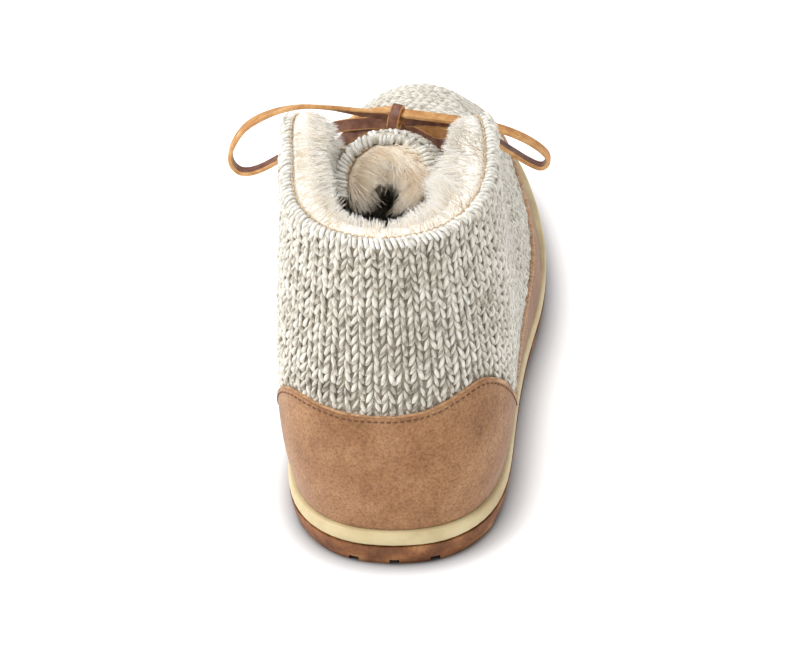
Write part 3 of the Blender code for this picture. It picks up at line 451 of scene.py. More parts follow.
def pile_finish(name, root, middle, tip):
    """Fur: darker at the root of each strand as painted shade, with a tone of its own and a soft bloom."""
    made = finish(name, 0.85, Sheen_Weight=0.8, Sheen_Roughness=0.7)
    base = shades(made, attribute(made, "height"), (0.0, root), (0.45, middle), (1.0, tip))
    veil = shades(made, attribute(made, "tone"), (0.0, (0.86, 0.72, 0.52)), (0.5, (0.92, 0.885, 0.83)),
                  (1.0, (1.0, 0.985, 0.965)))
    wire(made, blend_colours(made, 1.0, base, veil, "MULTIPLY"), "Base Color")
    return made


def set_value(piece, label, values):
    layer = piece.data.attributes.new(label, "FLOAT", "POINT")
    spread = np.broadcast_to(values, len(piece.data.vertices))
    layer.data.foreach_set("value", spread.astype(np.float32))


cream_pile = pile_finish("cream_pile", (0.42, 0.35, 0.26), (0.76, 0.70, 0.60), (0.90, 0.87, 0.80))
relief(cream_pile, ((700.0, 4.0), 0.9, 0.8))
insole = smooth_copy("insole", "pile_insole", cream_pile, 50.0, 1)
set_value(insole, "height", 0.6)
set_value(insole, "tone", 0.8)


# Knitted upper
# Chunky stockinette of a marled cream and grey-brown yarn. The wall is the ground that shows
# between the stitches; the stitches are laid on it wale by wale, and go up the sides of the foot.
WALE = 4.8
COURSE = 3.45
YARN = 0.91
FOOT_MIDDLE = -3.5
HEEL_CENTRE = np.array([FOOT_MIDDLE, -75.0])
FOOT_HEIGHT = 32.0
THROAT_FRONT = 39.0
TOE_HINGE = np.array([-4.0, 84.0, 24.0])
TOE_REACH = 42.0
FAN_CLOSES = 0.55
BELOW_EDGE = 4.4
EYELET_ROOM = 5.6
PRESSED_DOWN = 0.75
HIDDEN_BY = 1.5
TUCKED_BY = 2.2
RAY_LENGTH = 170.0
RAY_STEP = 0.45
LINE_BREAK = 6.0
LEG_PLACES = np.array([0.01, 0.12, 0.33, 0.56, 0.79, 0.96])
LEG_ROUND = np.array([0.30, 0.74, 1.00, 1.00, 0.76, 0.36])
LEG_LIFT = np.array([-0.55, -0.05, 0.34, 0.42, 0.10, -0.45])
LEG_SIDES = 5
LEG_TURNS = 1.1
LEG_OVERLAP = 1.52
LEG_FLAT = 0.82
LEG_RAISED = 0.25
HALF_HEEL = 36.0
FLARE = np.array([-2.7, 0.0, 1.0])
FLARE_AT = np.array([-35.0, -45.0, 123.0])
FLARE_SPREAD = np.array([30.0, 17.0, 24.0])
SHAFT_FOLDS = (
    (1.0, (-58.0, 70.0), (-22.0, 52.0), 1.3, 7.0),
    (1.0, (-34.0, 84.0), (2.0, 58.0), 1.0, 6.0),
    (-1.0, (-60.0, 68.0), (-24.0, 50.0), 1.3, 7.0),
    (-1.0, (-34.0, 82.0), (0.0, 58.0), 1.0, 6.0),
    (1.0, (40.0, 62.0), (58.0, 40.0), 0.8, 5.0),
    (-1.0, (42.0, 62.0), (60.0, 40.0), 0.8, 5.0),
)


def crease(spots, start, end, deep, wide, rim, rim_at):
    """Depth of a soft crease along a straight stretch, with a raised rim beside it."""
    start, end = np.array(start, float), np.array(end, float)
    run = end - start
    share = np.clip(((spots - start) @ run) / (run @ run), 0.0, 1.0)
    gap = np.linalg.norm(spots - start - share[:, None] * run, axis=1) / wide
    return deep * (np.exp(-gap**2) - rim * np.exp(-(gap - rim_at) ** 2))


def fold_depth(spots):
    """How far the soft folds at the ankle and the ball sink the knit."""
    depth = np.zeros(len(spots))
    for side, *fold in SHAFT_FOLDS:
        on_side = np.clip(((spots[:, 0] - FOOT_MIDDLE) * side - 4.0) / 8.0, 0.0, 1.0)
        depth += on_side * crease(spots[:, 1:], *fold, 0.35, 1.9)
    return depth


def flare(spots):
    """How far the front corner of the collar on the inner side of the foot leans outwards."""
    near = np.exp(-np.sum(((spots - FLARE_AT) / FLARE_SPREAD) ** 2, axis=1))
    return near[:, None] * FLARE


def corners_of(piece):
    """Places in millimetres and normals of a piece's vertices."""
    points = piece.data.vertices
    return np.array([tuple(v.co) for v in points]) / MM, np.array([tuple(v.normal) for v in points])


def reshape(piece, depth_of=None):
    """Push a piece in by a depth worked out from its places, or lean it out with the collar."""
    spots, normals = corners_of(piece)
    spots += flare(spots) if depth_of is None else -normals * depth_of(spots)[:, None]
    piece.data.vertices.foreach_set("co", (spots * MM).ravel())
    piece.data.update()


# The ground is darker at the back of the heel and paler elsewhere, as painted shade and light.
ground = finish("knit_ground", 0.95)
ground_cloud = cloud(ground, 500.0, 4.0)
place = put(ground, "ShaderNodeSeparateXYZ")
painted_shade_to_back = put(ground, "ShaderNodeMapRange", From_Min=-0.112, From_Max=-0.075)
wire(ground, put(ground, "ShaderNodeTexCoord").outputs["Object"], "Vector", place)
wire(ground, place.outputs["Y"], "Value", painted_shade_to_back)
wire(ground, blend_colours(
    ground, painted_shade_to_back.outputs["Result"],
    shades(ground, ground_cloud, (0.35, (0.20, 0.172, 0.130)), (0.6, (0.41, 0.363, 0.29))),
    shades(ground, ground_cloud, (0.35, (0.42, 0.385, 0.32)), (0.6, (0.64, 0.60, 0.52)))), "Base Color")
relief(ground, ((900.0, 3.0), 0.4, 0.6))
wall = smooth_copy("upper", "knit_wall", ground, 50.0, 1)
reshape(wall, fold_depth)
reshape(wall)


def yarn_finish(name, dark, grey, cream, pale):
    """Two-ply yarn: a dark ply twisted round a pale one, with flecks and a tone of its own."""
    made = finish(name, 0.95, Sheen_Weight=0.35, Sheen_Roughness=0.6)
    where = put(made, "ShaderNodeUVMap")
    where.uv_map = "yarn"
    start = attribute(made, "ply_start")
    plies = put(made, "ShaderNodeTexWave", Scale=1.0, Distortion=2.2, Detail=2.0)
    plies.bands_direction = "DIAGONAL"
    wire(made, where.outputs["UV"], "Vector", plies)
    wire(made, start, "Phase Offset", plies)
    tone = attribute(made, "tone")
    light_ply = shades(made, tone, (0.0, grey), (0.45, cream), (1.0, pale))
    dark_ply = shades(made, tone, (0.0, dark), (0.5, grey), (1.0, cream))
    share = shades(made, plies.outputs["Fac"], (0.50, (0.0, 0.0, 0.0)), (0.95, (1.0, 1.0, 1.0)))
    twisted = blend_colours(made, share, light_ply, dark_ply)
    drawn_out = put(made, "ShaderNodeMapping", Scale=(14.0, 2.6, 1.0))
    wire(made, where.outputs["UV"], "Vector", drawn_out)
    fibres = put(made, "ShaderNodeTexNoise", Scale=1.0, Detail=3.0, Roughness=0.7)
    fibres.noise_dimensions = "4D"
    wire(made, drawn_out.outputs["Vector"], "Vector", fibres)
    wire(made, start, "W", fibres)
    streaks = shades(made, fibres.outputs["Fac"], (0.34, (0.50, 0.455, 0.385)),
                     (0.50, (0.94, 0.93, 0.91)), (0.66, (1.0, 1.0, 1.0)))
    wire(made, blend_colours(made, 0.75, twisted, streaks, "MULTIPLY"), "Base Color")
    relief(made, (fibres.outputs["Fac"], 0.18, 0.6), ((4200.0, 2.0), 0.14, 0.8))
    return made


yarn = yarn_finish("marled_yarn", (0.125, 0.103, 0.075), (0.38, 0.335, 0.265), (0.72, 0.68, 0.59),
                   (0.90, 0.875, 0.80))


def tree_of(*objects):
    """A search tree over the faces of some objects, in metres."""
    points, faces = [], []
    for thing in objects:
        start = len(points)
        points += [tuple(v.co) for v in thing.data.vertices]
        faces += [tuple(start + i for i in p.vertices) for p in thing.data.polygons]
    return BVHTree.FromPolygons(points, faces)


def middle_of(node):
    """Middle of the box of a solid."""
    low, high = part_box(node)
    return np.array((low + high) / 2.0) / MM


wall_tree = tree_of(wall)
suede_tree = tree_of(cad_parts["heel_counter"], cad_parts["mudguard"])
eyelet_nodes = sorted(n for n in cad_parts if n.startswith("eyelet_"))
eyelet_centres = [middle_of(name) for name in eyelet_nodes]


def outer_line(tree, rays):
    """Where rays first meet a surface, as one unbroken line; a ray is its root and direction."""
    points, normals = [], []
    for root, ray in rays:
        spot, normal, _, _ = tree.ray_cast(Vector((root + ray * RAY_LENGTH) * MM), -Vector(ray),
                                           RAY_LENGTH * MM)
        if spot is None or normal.dot(Vector(ray)) < 0.02:
            continue
        spot = np.array(spot) / MM
        if points and np.linalg.norm(spot - points[-1]) > LINE_BREAK:
            break
        points.append(spot)
        normals.append(np.array(normal))
    return np.array(points), np.array(normals)


def section_rays(centre, side, up, start_degrees, end_degrees):
    """Rays that sweep the plane of side and up, from a centre inside the foot."""
    steps = int(abs(end_degrees - start_degrees) / RAY_STEP) + 1
    angles = np.radians(np.linspace(start_degrees, end_degrees, steps))
    return [(centre, side * math.cos(angle) + up * math.sin(angle)) for angle in angles]


def stitches_on(line, normals, row, below_top=BELOW_EDGE, width_at=None, scale=1.0):
    """Stitches along one wale, from its top down: place, across, along, normal, width and so on."""
    if len(line) < 4:
        return []
    run = run_of(line)
    made = []
    for step, at in enumerate(np.arange(run[-1] - below_top, 1.0, -COURSE * scale)):
        spot = read(at, run, line)
        along = unit(read(min(at + 1.5, run[-1]), run, line) - read(max(at - 1.5, 0.0), run, line))
        across = unit(np.cross(along, unit(read(at, run, normals))))
        width = WALE * scale if width_at is None else width_at(spot)
        made.append((spot, across, along, unit(np.cross(across, along)), width, COURSE * scale, row, step))
    return made


def covered(spot, normal):
    """Whether suede lies over a spot of the wall."""
    return suede_tree.ray_cast(Vector((spot - normal * 0.8) * MM), Vector(normal), 6.0 * MM)[0] is not None


def wale(row, centre, side, up, start_degrees, end_degrees, *fit):
    """Stitches of one wale, without those under suede or an eyelet; those that go under are pressed."""
    line, normals = outer_line(wall_tree, section_rays(centre, side, up, start_degrees, end_degrees))
    kept = []
    for stitch in stitches_on(line, normals, row, *fit):
        spot, _, along, normal = stitch[:4]
        near_eyelet = min(np.linalg.norm(spot - middle) for middle in eyelet_centres)
        if (near_eyelet < EYELET_ROOM
                or covered(spot - along * HIDDEN_BY, normal) and covered(spot + along * HIDDEN_BY, normal)):
            continue
        if covered(spot - along * TUCKED_BY, normal) or covered(spot + along * TUCKED_BY, normal):
            stitch = (spot - normal * PRESSED_DOWN, *stitch[1:])
        kept.append(stitch)
    return kept


knit_rng = np.random.default_rng(5)


def joined(name, points, faces, mat, values, corner_uv=None):
    """One object of many like shapes; points is shapes by corners by 3, in millimetres."""
    shapes, corners, _ = points.shape
    starts = np.arange(shapes)[:, None] * corners
    everything = [one for face in faces for one in (starts + np.array(face)[None, :]).tolist()]
    piece = mesh_piece(name, points.reshape(-1, 3), everything, mat)
    for label, value in values.items():
        set_value(piece, label, np.broadcast_to(value, (shapes, corners)).ravel())
    if corner_uv is not None:
        uvs = np.concatenate([np.tile(np.array(uv, float), (shapes, 1)) for uv in corner_uv])
        layer = piece.data.uv_layers.new(name="yarn")
        layer.data.foreach_set("uv", uvs.astype(np.float32).ravel())
    tidy_faces(piece, 180.0)
    return piece


def knit(name, stitches, painted_light_tone):
    """The legs of many stitches as one mesh; the tone they are given is painted light and shade."""
    count = len(stitches)
    spot, across, along, normal, width, course, rows, steps = map(np.array, zip(*stitches))
    drift = knit_rng.normal(0.0, 1.0, (rows.max() - rows.min() + 9, steps.max() + 1))
    kernel = np.array([0.25, 0.6, 1.0, 1.0, 0.6, 0.25])
    smooth = np.apply_along_axis(lambda c: np.convolve(c, kernel / 1.8, "same"), 0, drift)
    tones = painted_light_tone + 0.13 * smooth[rows - rows.min(), steps]
    legs, leg_tones = [], []
    for sign in (-1.0, 1.0):
        jitter = knit_rng.normal(0.0, 0.15, (count, 3))
        length = course * LEG_OVERLAP * knit_rng.uniform(0.92, 1.14, count)
        radius = YARN * (width / WALE) * knit_rng.uniform(0.80, 1.12, count)
        lean = knit_rng.normal(0.0, 0.08, count)

        def middle(place, lift, lean):
            sideways = sign * width * (0.09 + 0.32 * place + lean * (place - 0.5))
            return (spot + jitter + across * sideways[:, None]
                    + along * ((place - 0.5) * length)[:, None] + normal * (lift + LEG_RAISED))

        shape = []
        for place, thick, lift in zip(LEG_PLACES, LEG_ROUND, LEG_LIFT):
            for angle in math.tau * np.arange(LEG_SIDES) / LEG_SIDES:
                shape.append(middle(place, lift, lean)
                             + across * (radius * thick * math.cos(angle))[:, None]
                             + normal * (radius * thick * LEG_FLAT * math.sin(angle))[:, None])
        legs.append(np.stack([*shape, middle(-0.03, -0.75, 0.0), middle(1.0, -0.65, 0.0)], axis=1))
        leg_tones.append(np.clip(tones + knit_rng.normal(0.0, 0.13, count), 0.0, 1.0))
    faces, corners = tube_faces(len(LEG_PLACES), LEG_SIDES, LEG_TURNS)
    values = {"tone": np.concatenate(leg_tones)[:, None],
              "ply_start": knit_rng.uniform(0.0, math.tau, (2 * count, 1))}
    settle(joined(name, np.concatenate(legs), faces, yarn, values, corners))


X = np.array([1.0, 0.0, 0.0])
Z = np.array([0.0, 0.0, 1.0])


def level_ray(angle):
    """A level direction, turned by an angle from the outer side."""
    return np.array([math.cos(angle), math.sin(angle), 0.0])


def heel_angles():
    """Directions round the back of the heel that are one wale apart."""
    fine = np.linspace(-math.pi, 0.0, 181)
    centre = np.array([*HEEL_CENTRE, 75.0])
    rays = [level_ray(angle) for angle in fine]
    ring = [np.array(wall_tree.ray_cast(Vector((centre + ray * 150.0) * MM), -Vector(ray), 0.15)[0]) / MM
            for ray in rays]
    run = run_of(ring)
    return np.interp(np.linspace(0.0, run[-1], int(round(run[-1] / WALE)) + 1), run, fine)


def inside(y):
    """A spot in the middle of the foot, from which the knit is swept."""
    return np.array([FOOT_MIDDLE + 0.02 * (y - 20.0), y, FOOT_HEIGHT])


# The tones given to the parts of the knit are painted light and shade: darkest at the back of the heel,
# paler towards its sides, and palest on the toe.
heel_stitches = []
heel_centre = np.array([*HEEL_CENTRE, FOOT_HEIGHT])
for row, angle in enumerate(heel_angles()):
    heel_stitches += wale(row, heel_centre, level_ray(angle), Z, -20.0, 80.0)
beside_back = np.array([abs(stitch[0][0] - HEEL_CENTRE[0]) / HALF_HEEL for stitch in heel_stitches])
knit("knit_heel", heel_stitches, 0.55 + 0.25 * beside_back**2)

for label, side in (("lateral", X), ("medial", -X)):
    side_stitches = []
    for row, y in enumerate(np.arange(HEEL_CENTRE[1] + WALE, THROAT_FRONT, WALE)):
        side_stitches += wale(row, inside(y), side, Z, -20.0, 90.0)
    knit("knit_" + label, side_stitches, 0.80)

# In front of the throat each wale runs over the foot from one side to the other, and on the toe
# the wales fan out, every other one ending where they close up.
vamp_stitches = []
for row, y in enumerate(np.arange(THROAT_FRONT, TOE_HINGE[1], WALE)):
    vamp_stitches += wale(row, inside(y), -X, Z, -20.0, 200.0, 0.0)
knit("knit_vamp", vamp_stitches, 0.84)


def toe_share(spot):
    """How far out from the hinge of the toe's fan a spot is."""
    return np.linalg.norm((spot - TOE_HINGE)[1:]) / TOE_REACH


def toe_width(spot):
    """Width of a wale where the wales of the toe fan out from their hinge."""
    share = toe_share(spot)
    return WALE * min(1.1, share if share > FAN_CLOSES else 2.0 * share)


toe_stitches = []
for row, tilt in enumerate(np.arange(0.0, 1.6, WALE / TOE_REACH)):
    up = np.array([0.0, math.sin(tilt), math.cos(tilt)])
    fan = wale(row, TOE_HINGE, -X, up, 0.0, 180.0, 0.0, toe_width)
    toe_stitches += [stitch for stitch in fan if row % 2 == 0 or toe_share(stitch[0]) > FAN_CLOSES]
knit("knit_toe", toe_stitches, 0.95)


# Whipped edge of the collar and the throat
# Whitish yarn is whipped over the rolled edge of the knit, loop beside loop, and a tan thread
# holds the fur lining to it on the inner side.
COLLAR_EDGE = np.array((
    (-3.9, -116.3, 120.5), (15.8, -110.4, 121.2), (27.0, -96.0, 122.6), (30.4, -79.3, 124.3),
    (30.1, -62.5, 125.0), (29.0, -53.1, 126.2), (27.1, -44.2, 124.8), (24.4, -37.5, 115.8),
    (21.2, -29.4, 104.3), (16.8, -8.3, 90.1), (13.9, 10.1, 80.6), (10.4, 24.6, 75.0),
    (5.7, 34.0, 71.9), (-2.0, 38.1, 70.4), (-9.6, 34.1, 71.9), (-14.3, 24.6, 75.0),
    (-17.7, 10.2, 80.6), (-20.5, -8.3, 90.1), (-27.0, -29.4, 104.3), (-31.3, -37.5, 115.9),
    (-34.6, -44.2, 124.9), (-36.7, -53.1, 126.4), (-37.4, -62.4, 125.2), (-37.1, -79.4, 124.5),
    (-34.3, -96.2, 122.8), (-23.7, -110.4, 121.2)))
WHIP_PITCH = 1.9
WHIP_YARN = 0.82
BEAD = 1.7
SEAM_IN = 2.95
PROBE_REACH = 5.5
STRAND_TURNS = 2.0
IN_THE_FOOT = np.array([-3.5, -45.0, 60.0])

whip_yarn = yarn_finish("whip_yarn", (0.34, 0.31, 0.26), (0.66, 0.63, 0.56), (0.88, 0.86, 0.80),
                        (0.96, 0.95, 0.92))
tan_thread = finish("tan_thread", 0.8)
wire(tan_thread, shades(tan_thread, (700.0, 3.0), (0.35, (0.50, 0.33, 0.16)),
                        (0.65, (0.78, 0.60, 0.37))), "Base Color")
edge_rng = np.random.default_rng(8)


def rolling_mean(rows, span):
    """Rows averaged with their neighbours round a closed line."""
    return sum(np.roll(rows, shift, axis=0) for shift in range(-span, span + 1)) / (2 * span + 1)


def closed_route(points, spacing):
    """Smooth closed line through a short list of points, at even steps."""
    around = [*points[-3:], *points, *points[:3]]
    line = smooth_route(around, 0.5)
    first = np.linalg.norm(line - points[0], axis=1)
    start = int(np.argmin(first[:len(line) // 2]))
    end = len(line) // 2 + int(np.argmin(first[len(line) // 2:]))
    return even_steps(line[start:end + 1], spacing)[:-1]


def across_to(rows, along):
    """Rows of directions, each turned square to its own direction along."""
    return unit(rows - along * np.sum(rows * along, axis=1, keepdims=True))


def edge_frames(tree, line, away_from, closed):
    """Middle of a rolled edge, its direction, and the directions to its sheet and outwards."""
    if closed:
        along = unit(np.roll(line, -1, axis=0) - np.roll(line, 1, axis=0))
    else:
        along = unit(np.gradient(line, axis=0))
    to_sheet = []
    for spot, tangent in zip(line, along):
        first = unit(np.cross(tangent, (0.3, 0.2, 1.0)))
        second = np.cross(tangent, first)
        depths = []
        for angle in np.linspace(0.0, math.tau, 48, endpoint=False):
            ray = first * math.cos(angle) + second * math.sin(angle)
            probe = Vector((spot + ray * PROBE_REACH) * MM)
            near, normal, _, _ = tree.find_nearest(probe)
            depths.append(((probe - near).dot(normal), tuple(ray)))
        to_sheet.append(min(depths)[1])
    to_sheet = across_to(rolling_mean(to_sheet, 3) if closed else np.array(to_sheet), along)
    out = unit(np.cross(along, to_sheet))
    out *= np.sign(np.sum(out * (line - away_from), axis=1, keepdims=True))
    middles = []
    for spot, sheet, side in zip(line, to_sheet, out):
        reach = []
        for ray in (side, -side, -sheet):
            hit = tree.ray_cast(Vector(spot * MM), Vector(ray), 5.0 * MM)
            reach.append(hit[3] / MM if hit[0] is not None else BEAD)
        middles.append(spot + side * (reach[0] - reach[1]) / 2.0 - sheet * (reach[2] - BEAD))
    return rolling_mean(middles, 2) if closed else np.array(middles), along, to_sheet, out


def tubes(name, paths, ends, refs, radii, sides, mat, values):
    """Many round strands as one mesh: rings along each path, and a point past each of its ends."""
    tangents = unit(np.gradient(paths, axis=1))
    across = unit(np.cross(tangents, refs[:, None, :]))
    other = np.cross(tangents, across)
    angles = math.tau * np.arange(sides) / sides
    rings = paths[:, :, None] + radii[:, :, None, None] * (
        across[:, :, None] * np.cos(angles)[:, None] + other[:, :, None] * np.sin(angles)[:, None])
    count, steps = paths.shape[:2]
    points = np.concatenate([rings.reshape(count, steps * sides, 3), ends], axis=1)
    faces, corners = tube_faces(steps, sides, STRAND_TURNS)
    piece = joined(name, points, faces, mat, values, corners)
    settle(piece)
    return piece


def whip(name, frames, yarn_radius, start_degrees, end_degrees, slant):
    """Loops of yarn round a rolled edge, each leaning over to the next."""
    middles, along, to_sheet, out = frames
    degrees = np.linspace(start_degrees, end_degrees, 8)
    angles = np.radians(degrees)
    count = len(middles)
    wobble = edge_rng.normal(0.0, 0.10, (count, 1, 3))
    size = edge_rng.uniform(0.94, 1.08, (count, 1))
    spread = (BEAD + 0.5 * yarn_radius) * np.array([[0.72, 0.98, 1, 1, 1, 1, 0.98, 0.72]]) * size
    paths = (middles[:, None] + wobble
             + out[:, None] * (np.sin(angles) * spread)[:, :, None]
             - to_sheet[:, None] * (np.cos(angles) * spread)[:, :, None]
             + along[:, None] * (degrees / 90.0 * slant)[:, None])
    thickness = np.array([0.6, 0.9, 1, 1, 1, 1, 0.9, 0.6])
    radii = yarn_radius * edge_rng.uniform(0.90, 1.08, (count, 1)) * thickness
    values = {"tone": np.clip(edge_rng.normal(0.74, 0.2, (count, 1)), 0.0, 1.0),
              "ply_start": edge_rng.uniform(0.0, math.tau, (count, 1))}
    tubes(name, paths, paths[:, [0, -1]], along, radii, 6, whip_yarn, values)


def seam(name, line, normals, pitch, length, radius, mat):
    """A row of thread stitches laid along a line on a surface, each dipping in at its ends."""
    run = run_of(line)
    starts = np.arange(0.0, run[-1] - length, pitch)
    lift = radius * np.array([-1.2, 0.5, 0.75, 0.5, -1.2])
    at = starts[:, None] + np.linspace(0.0, length, len(lift))[None, :]
    outward = unit(read(at, run, normals))
    paths = read(at, run, line) + outward * lift[None, :, None]
    tubes(name, paths, paths[:, [0, -1]], outward[:, 0], np.full(at.shape, radius), 5, mat,
          {"tone": 0.5})


def lining_seam(name, frames, degrees, depth, pitch, length):
    """The tan thread that holds fur to an edge, on the inner side of its bead."""
    middles, _, to_sheet, out = frames
    angle = math.radians(degrees)
    line = middles + (out * math.sin(angle) - to_sheet * math.cos(angle)) * depth
    seam(name, line, -to_sheet, pitch, length, 0.26, tan_thread)


edge_line = closed_route(COLLAR_EDGE + flare(COLLAR_EDGE), WHIP_PITCH)
edge = edge_frames(wall_tree, edge_line, IN_THE_FOOT, True)
whip("whipped_edge", edge, WHIP_YARN, -60.0, 105.0, 1.1)
lining_seam("lining_thread", edge, -30.0, SEAM_IN, 2.4, 2.0)


# Tongue
# A curled sheet of the same knit, paler and finer, with its own whipped edge and the tan thread
# that holds its fur inside it.
TONGUE_EDGE = (
    (-21.7, -52.5, 98.9), (-21.5, -47.4, 107.2), (-15.6, -43.0, 114.0), (-6.2, -41.6, 116.4),
    (3.2, -43.0, 114.0), (9.1, -47.4, 107.2), (9.3, -52.5, 98.7))
TONGUE_FOOT = np.array([-2.5, 44.0, 41.0])
TONGUE_RUN = np.array([-6.2, -44.0, 101.0]) - TONGUE_FOOT
TONGUE_KNIT = 0.84
TONGUE_PITCH = 1.35
TONGUE_YARN = 0.74
TONGUE_SEAM_IN = 2.6

tongue_tree = tree_of(smooth_copy("tongue", "tongue_sheet", ground, 50.0, 2))
axis_way = unit(TONGUE_RUN)
arch_up = unit(Z - axis_way * axis_way[2])
tongue_stitches = []
for row, degrees in enumerate(np.arange(-108.0, 109.0, 12.0)):
    spoke = arch_up * math.cos(math.radians(degrees)) + X * math.sin(math.radians(degrees))
    walk = [(TONGUE_FOOT + TONGUE_RUN * share, spoke) for share in np.linspace(0.0, 1.08, 90)]
    tongue_stitches += stitches_on(*outer_line(tongue_tree, walk), row, 3.6, scale=TONGUE_KNIT)
knit("knit_tongue", tongue_stitches, 0.86)

tongue_line = smooth_route(TONGUE_EDGE, TONGUE_PITCH)
tongue_edge = edge_frames(tongue_tree, tongue_line, np.array([-6.0, -44.0, 95.0]), False)
whip("whipped_tongue", tongue_edge, TONGUE_YARN, -90.0, 100.0, 0.8)
lining_seam("tongue_thread", tongue_edge, -60.0, TONGUE_SEAM_IN, 2.2, 1.9)


# Lace through the eyelets
# The same thong, grain side up, crosses the tongue from eyelet to eyelet, and two strips of it run
# from the top eyelets to the knot. The eyelets are small turned rings of aged brass.
STRIP_MEDIAL = ((-5.0, -18.9, 109.3), (-8.3, -18.6, 108.5), (-13.0, -18.0, 106.6), (-18.0, -17.6, 104.0),
                (-22.5, -18.4, 101.6))
STRIP_LATERAL = ((-4.5, -18.8, 108.0), (-1.7, -17.5, 104.9), (3.8, -16.0, 100.6), (9.7, -15.2, 96.8))
LACE_SHIFT = 0.25
LACE_STACK = 2.1
OVER_KNIT = 1.1
GATHERED = ((0.0, 4.0, 8.0), (0.66, 0.70, 1.0))
MIRROR = np.array([-1.0, 1.0, 1.0])
THROAT_MIDDLE = -2.0

brass = finish("antique_brass", 0.34, Metallic=1.0)
wire(brass, shades(brass, (900.0, 4.0), (0.35, (0.10, 0.062, 0.028)), (0.55, (0.36, 0.24, 0.105)),
                   (0.75, (0.56, 0.40, 0.19))), "Base Color")
relief(brass, ((1800.0, 3.0), 0.06, 0.5))
mouths = {}
for name, centre in zip(eyelet_nodes, eyelet_centres):
    smooth_copy(name, name + "_ring", brass, 42.0, 2)
    rough = unit(centre - np.array([FOOT_MIDDLE, centre[1] - 12.0, 45.0]))
    first = unit(np.cross(rough, X))
    second = np.cross(rough, first)
    hits = []
    for angle in np.linspace(0.0, math.tau, 12, endpoint=False):
        start = centre + rough * 12.0 + (first * math.cos(angle) + second * math.sin(angle)) * 6.0
        spot, normal, _, _ = wall_tree.ray_cast(Vector(start * MM), -Vector(rough), 20.0 * MM)
        if spot is not None and normal.dot(Vector(rough)) > 0.5:
            hits.append((np.array(spot) / MM, np.array(normal)))
    plane, out = np.mean(hits, axis=0)
    out = unit(out)
    mouths[name.removeprefix("eyelet_")] = (centre + out * np.dot(plane - centre, out), out)


def over_edge(mouth, layer, target=None):
    """Points of the lace from inside an eyelet to the crest of the whipped edge beside it."""
    centre, out = mouth
    middles, _, to_sheet, outwards = edge
    own = int(np.argmin(np.linalg.norm(middles - centre, axis=1)))
    at = own
    if target is not None:
        mirrored = target * MIRROR + X * (2.0 * THROAT_MIDDLE)
        other = int(np.argmin(np.linalg.norm(middles - mirrored, axis=1)))
        at = own + int(round((other - own) * LACE_SHIFT))
    lift = 1.9 + layer * LACE_STACK * 0.8
    over = BEAD + WHIP_YARN * 1.5 + OVER_KNIT + layer * LACE_STACK * 0.5
    crest = middles[at] + unit(outwards[at] - 0.35 * to_sheet[at]) * over
    half_way = (centre + middles[at]) / 2.0 + out * (lift + OVER_KNIT)
    return [centre - out * 4.0, centre - out * 1.0, centre + out * lift, half_way, crest]


def lace_run(name, points, flesh_out, across=(0.0, -0.8, 0.6)):
    """A stretch of the lace, drawn together where it goes through an eyelet at its end or ends."""
    line = smooth_route(points, 0.9)
    run = run_of(line)
    near_end = np.minimum(run, run[-1] - run) if len(points) > 9 else run[-1] - run
    return thong(name, line, across, flesh_out, widths=np.interp(near_end, *GATHERED))


lace_runs = []
for number, (first, last, layer) in enumerate((
        ("lateral_1", "medial_1", 0), ("lateral_1", "medial_2", 1), ("lateral_2", "medial_1", 2),
        ("lateral_2", "medial_3", 0), ("lateral_3", "medial_2", 1))):
    slants = first[-1] != last[-1]
    there = over_edge(mouths[first], layer * 0.5, mouths[last][0] if slants else None)
    back = over_edge(mouths[last], layer * 0.5, mouths[first][0] if slants else None)
    middle = (there[-1] + back[-1]) / 2.0
    top = tongue_tree.ray_cast(Vector((*middle[:2], 200.0)) * MM, -Vector(Z))[0]
    middle[2] = max(middle[2] + 0.6, top[2] / MM + 2.4) + layer * LACE_STACK * 0.8
    lace_runs.append(lace_run("lace_run_%d" % number, [*there, middle, *back[::-1]], -1))
for side, strip, flesh_out in (("medial", STRIP_MEDIAL, 1), ("lateral", STRIP_LATERAL, -1)):
    to_eyelet = over_edge(mouths[side + "_3"], 0.5)[3::-1]
    lace_runs.append(lace_run("lace_strip_" + side, [*strip, *to_eyelet], flesh_out, (0.0, 0.587, 0.81)))
pick(lace_runs[0])
for run in lace_runs[1:]:
    run.select_set(True)
bpy.ops.object.join()
lace_runs[0].name = "lace_through_eyelets"
lace_runs[0].select_set(False)
settle(lace_runs[0], "lace_crossings")


# Suede
# The heel counter and the rand are tan suede with a brushed, mottled nap. Their top edge is turned
# over and paler. Dark thread sews the counter down, and tan thread the rand.
TOE_CENTRE = np.array([-4.0, 84.0])
COUNTER_WRINKLES = (
    ((26.0, -116.0, 26.0), (36.0, -96.0, 40.0), 0.35, 2.4),
    ((20.0, -122.0, 34.0), (33.0, -104.0, 52.0), 0.25, 2.2),
    ((-31.0, -112.0, 30.0), (-38.0, -94.0, 44.0), 0.30, 2.4),
    ((-12.0, -127.0, 22.0), (10.0, -127.0, 25.0), 0.25, 2.6),
    ((30.0, -106.0, 60.0), (36.0, -90.0, 46.0), 0.30, 2.2),
)
EDGE_TO_STITCH = 1.4
EDGE_RADIUS = 0.92
COUNTER_FRONT = -52.0

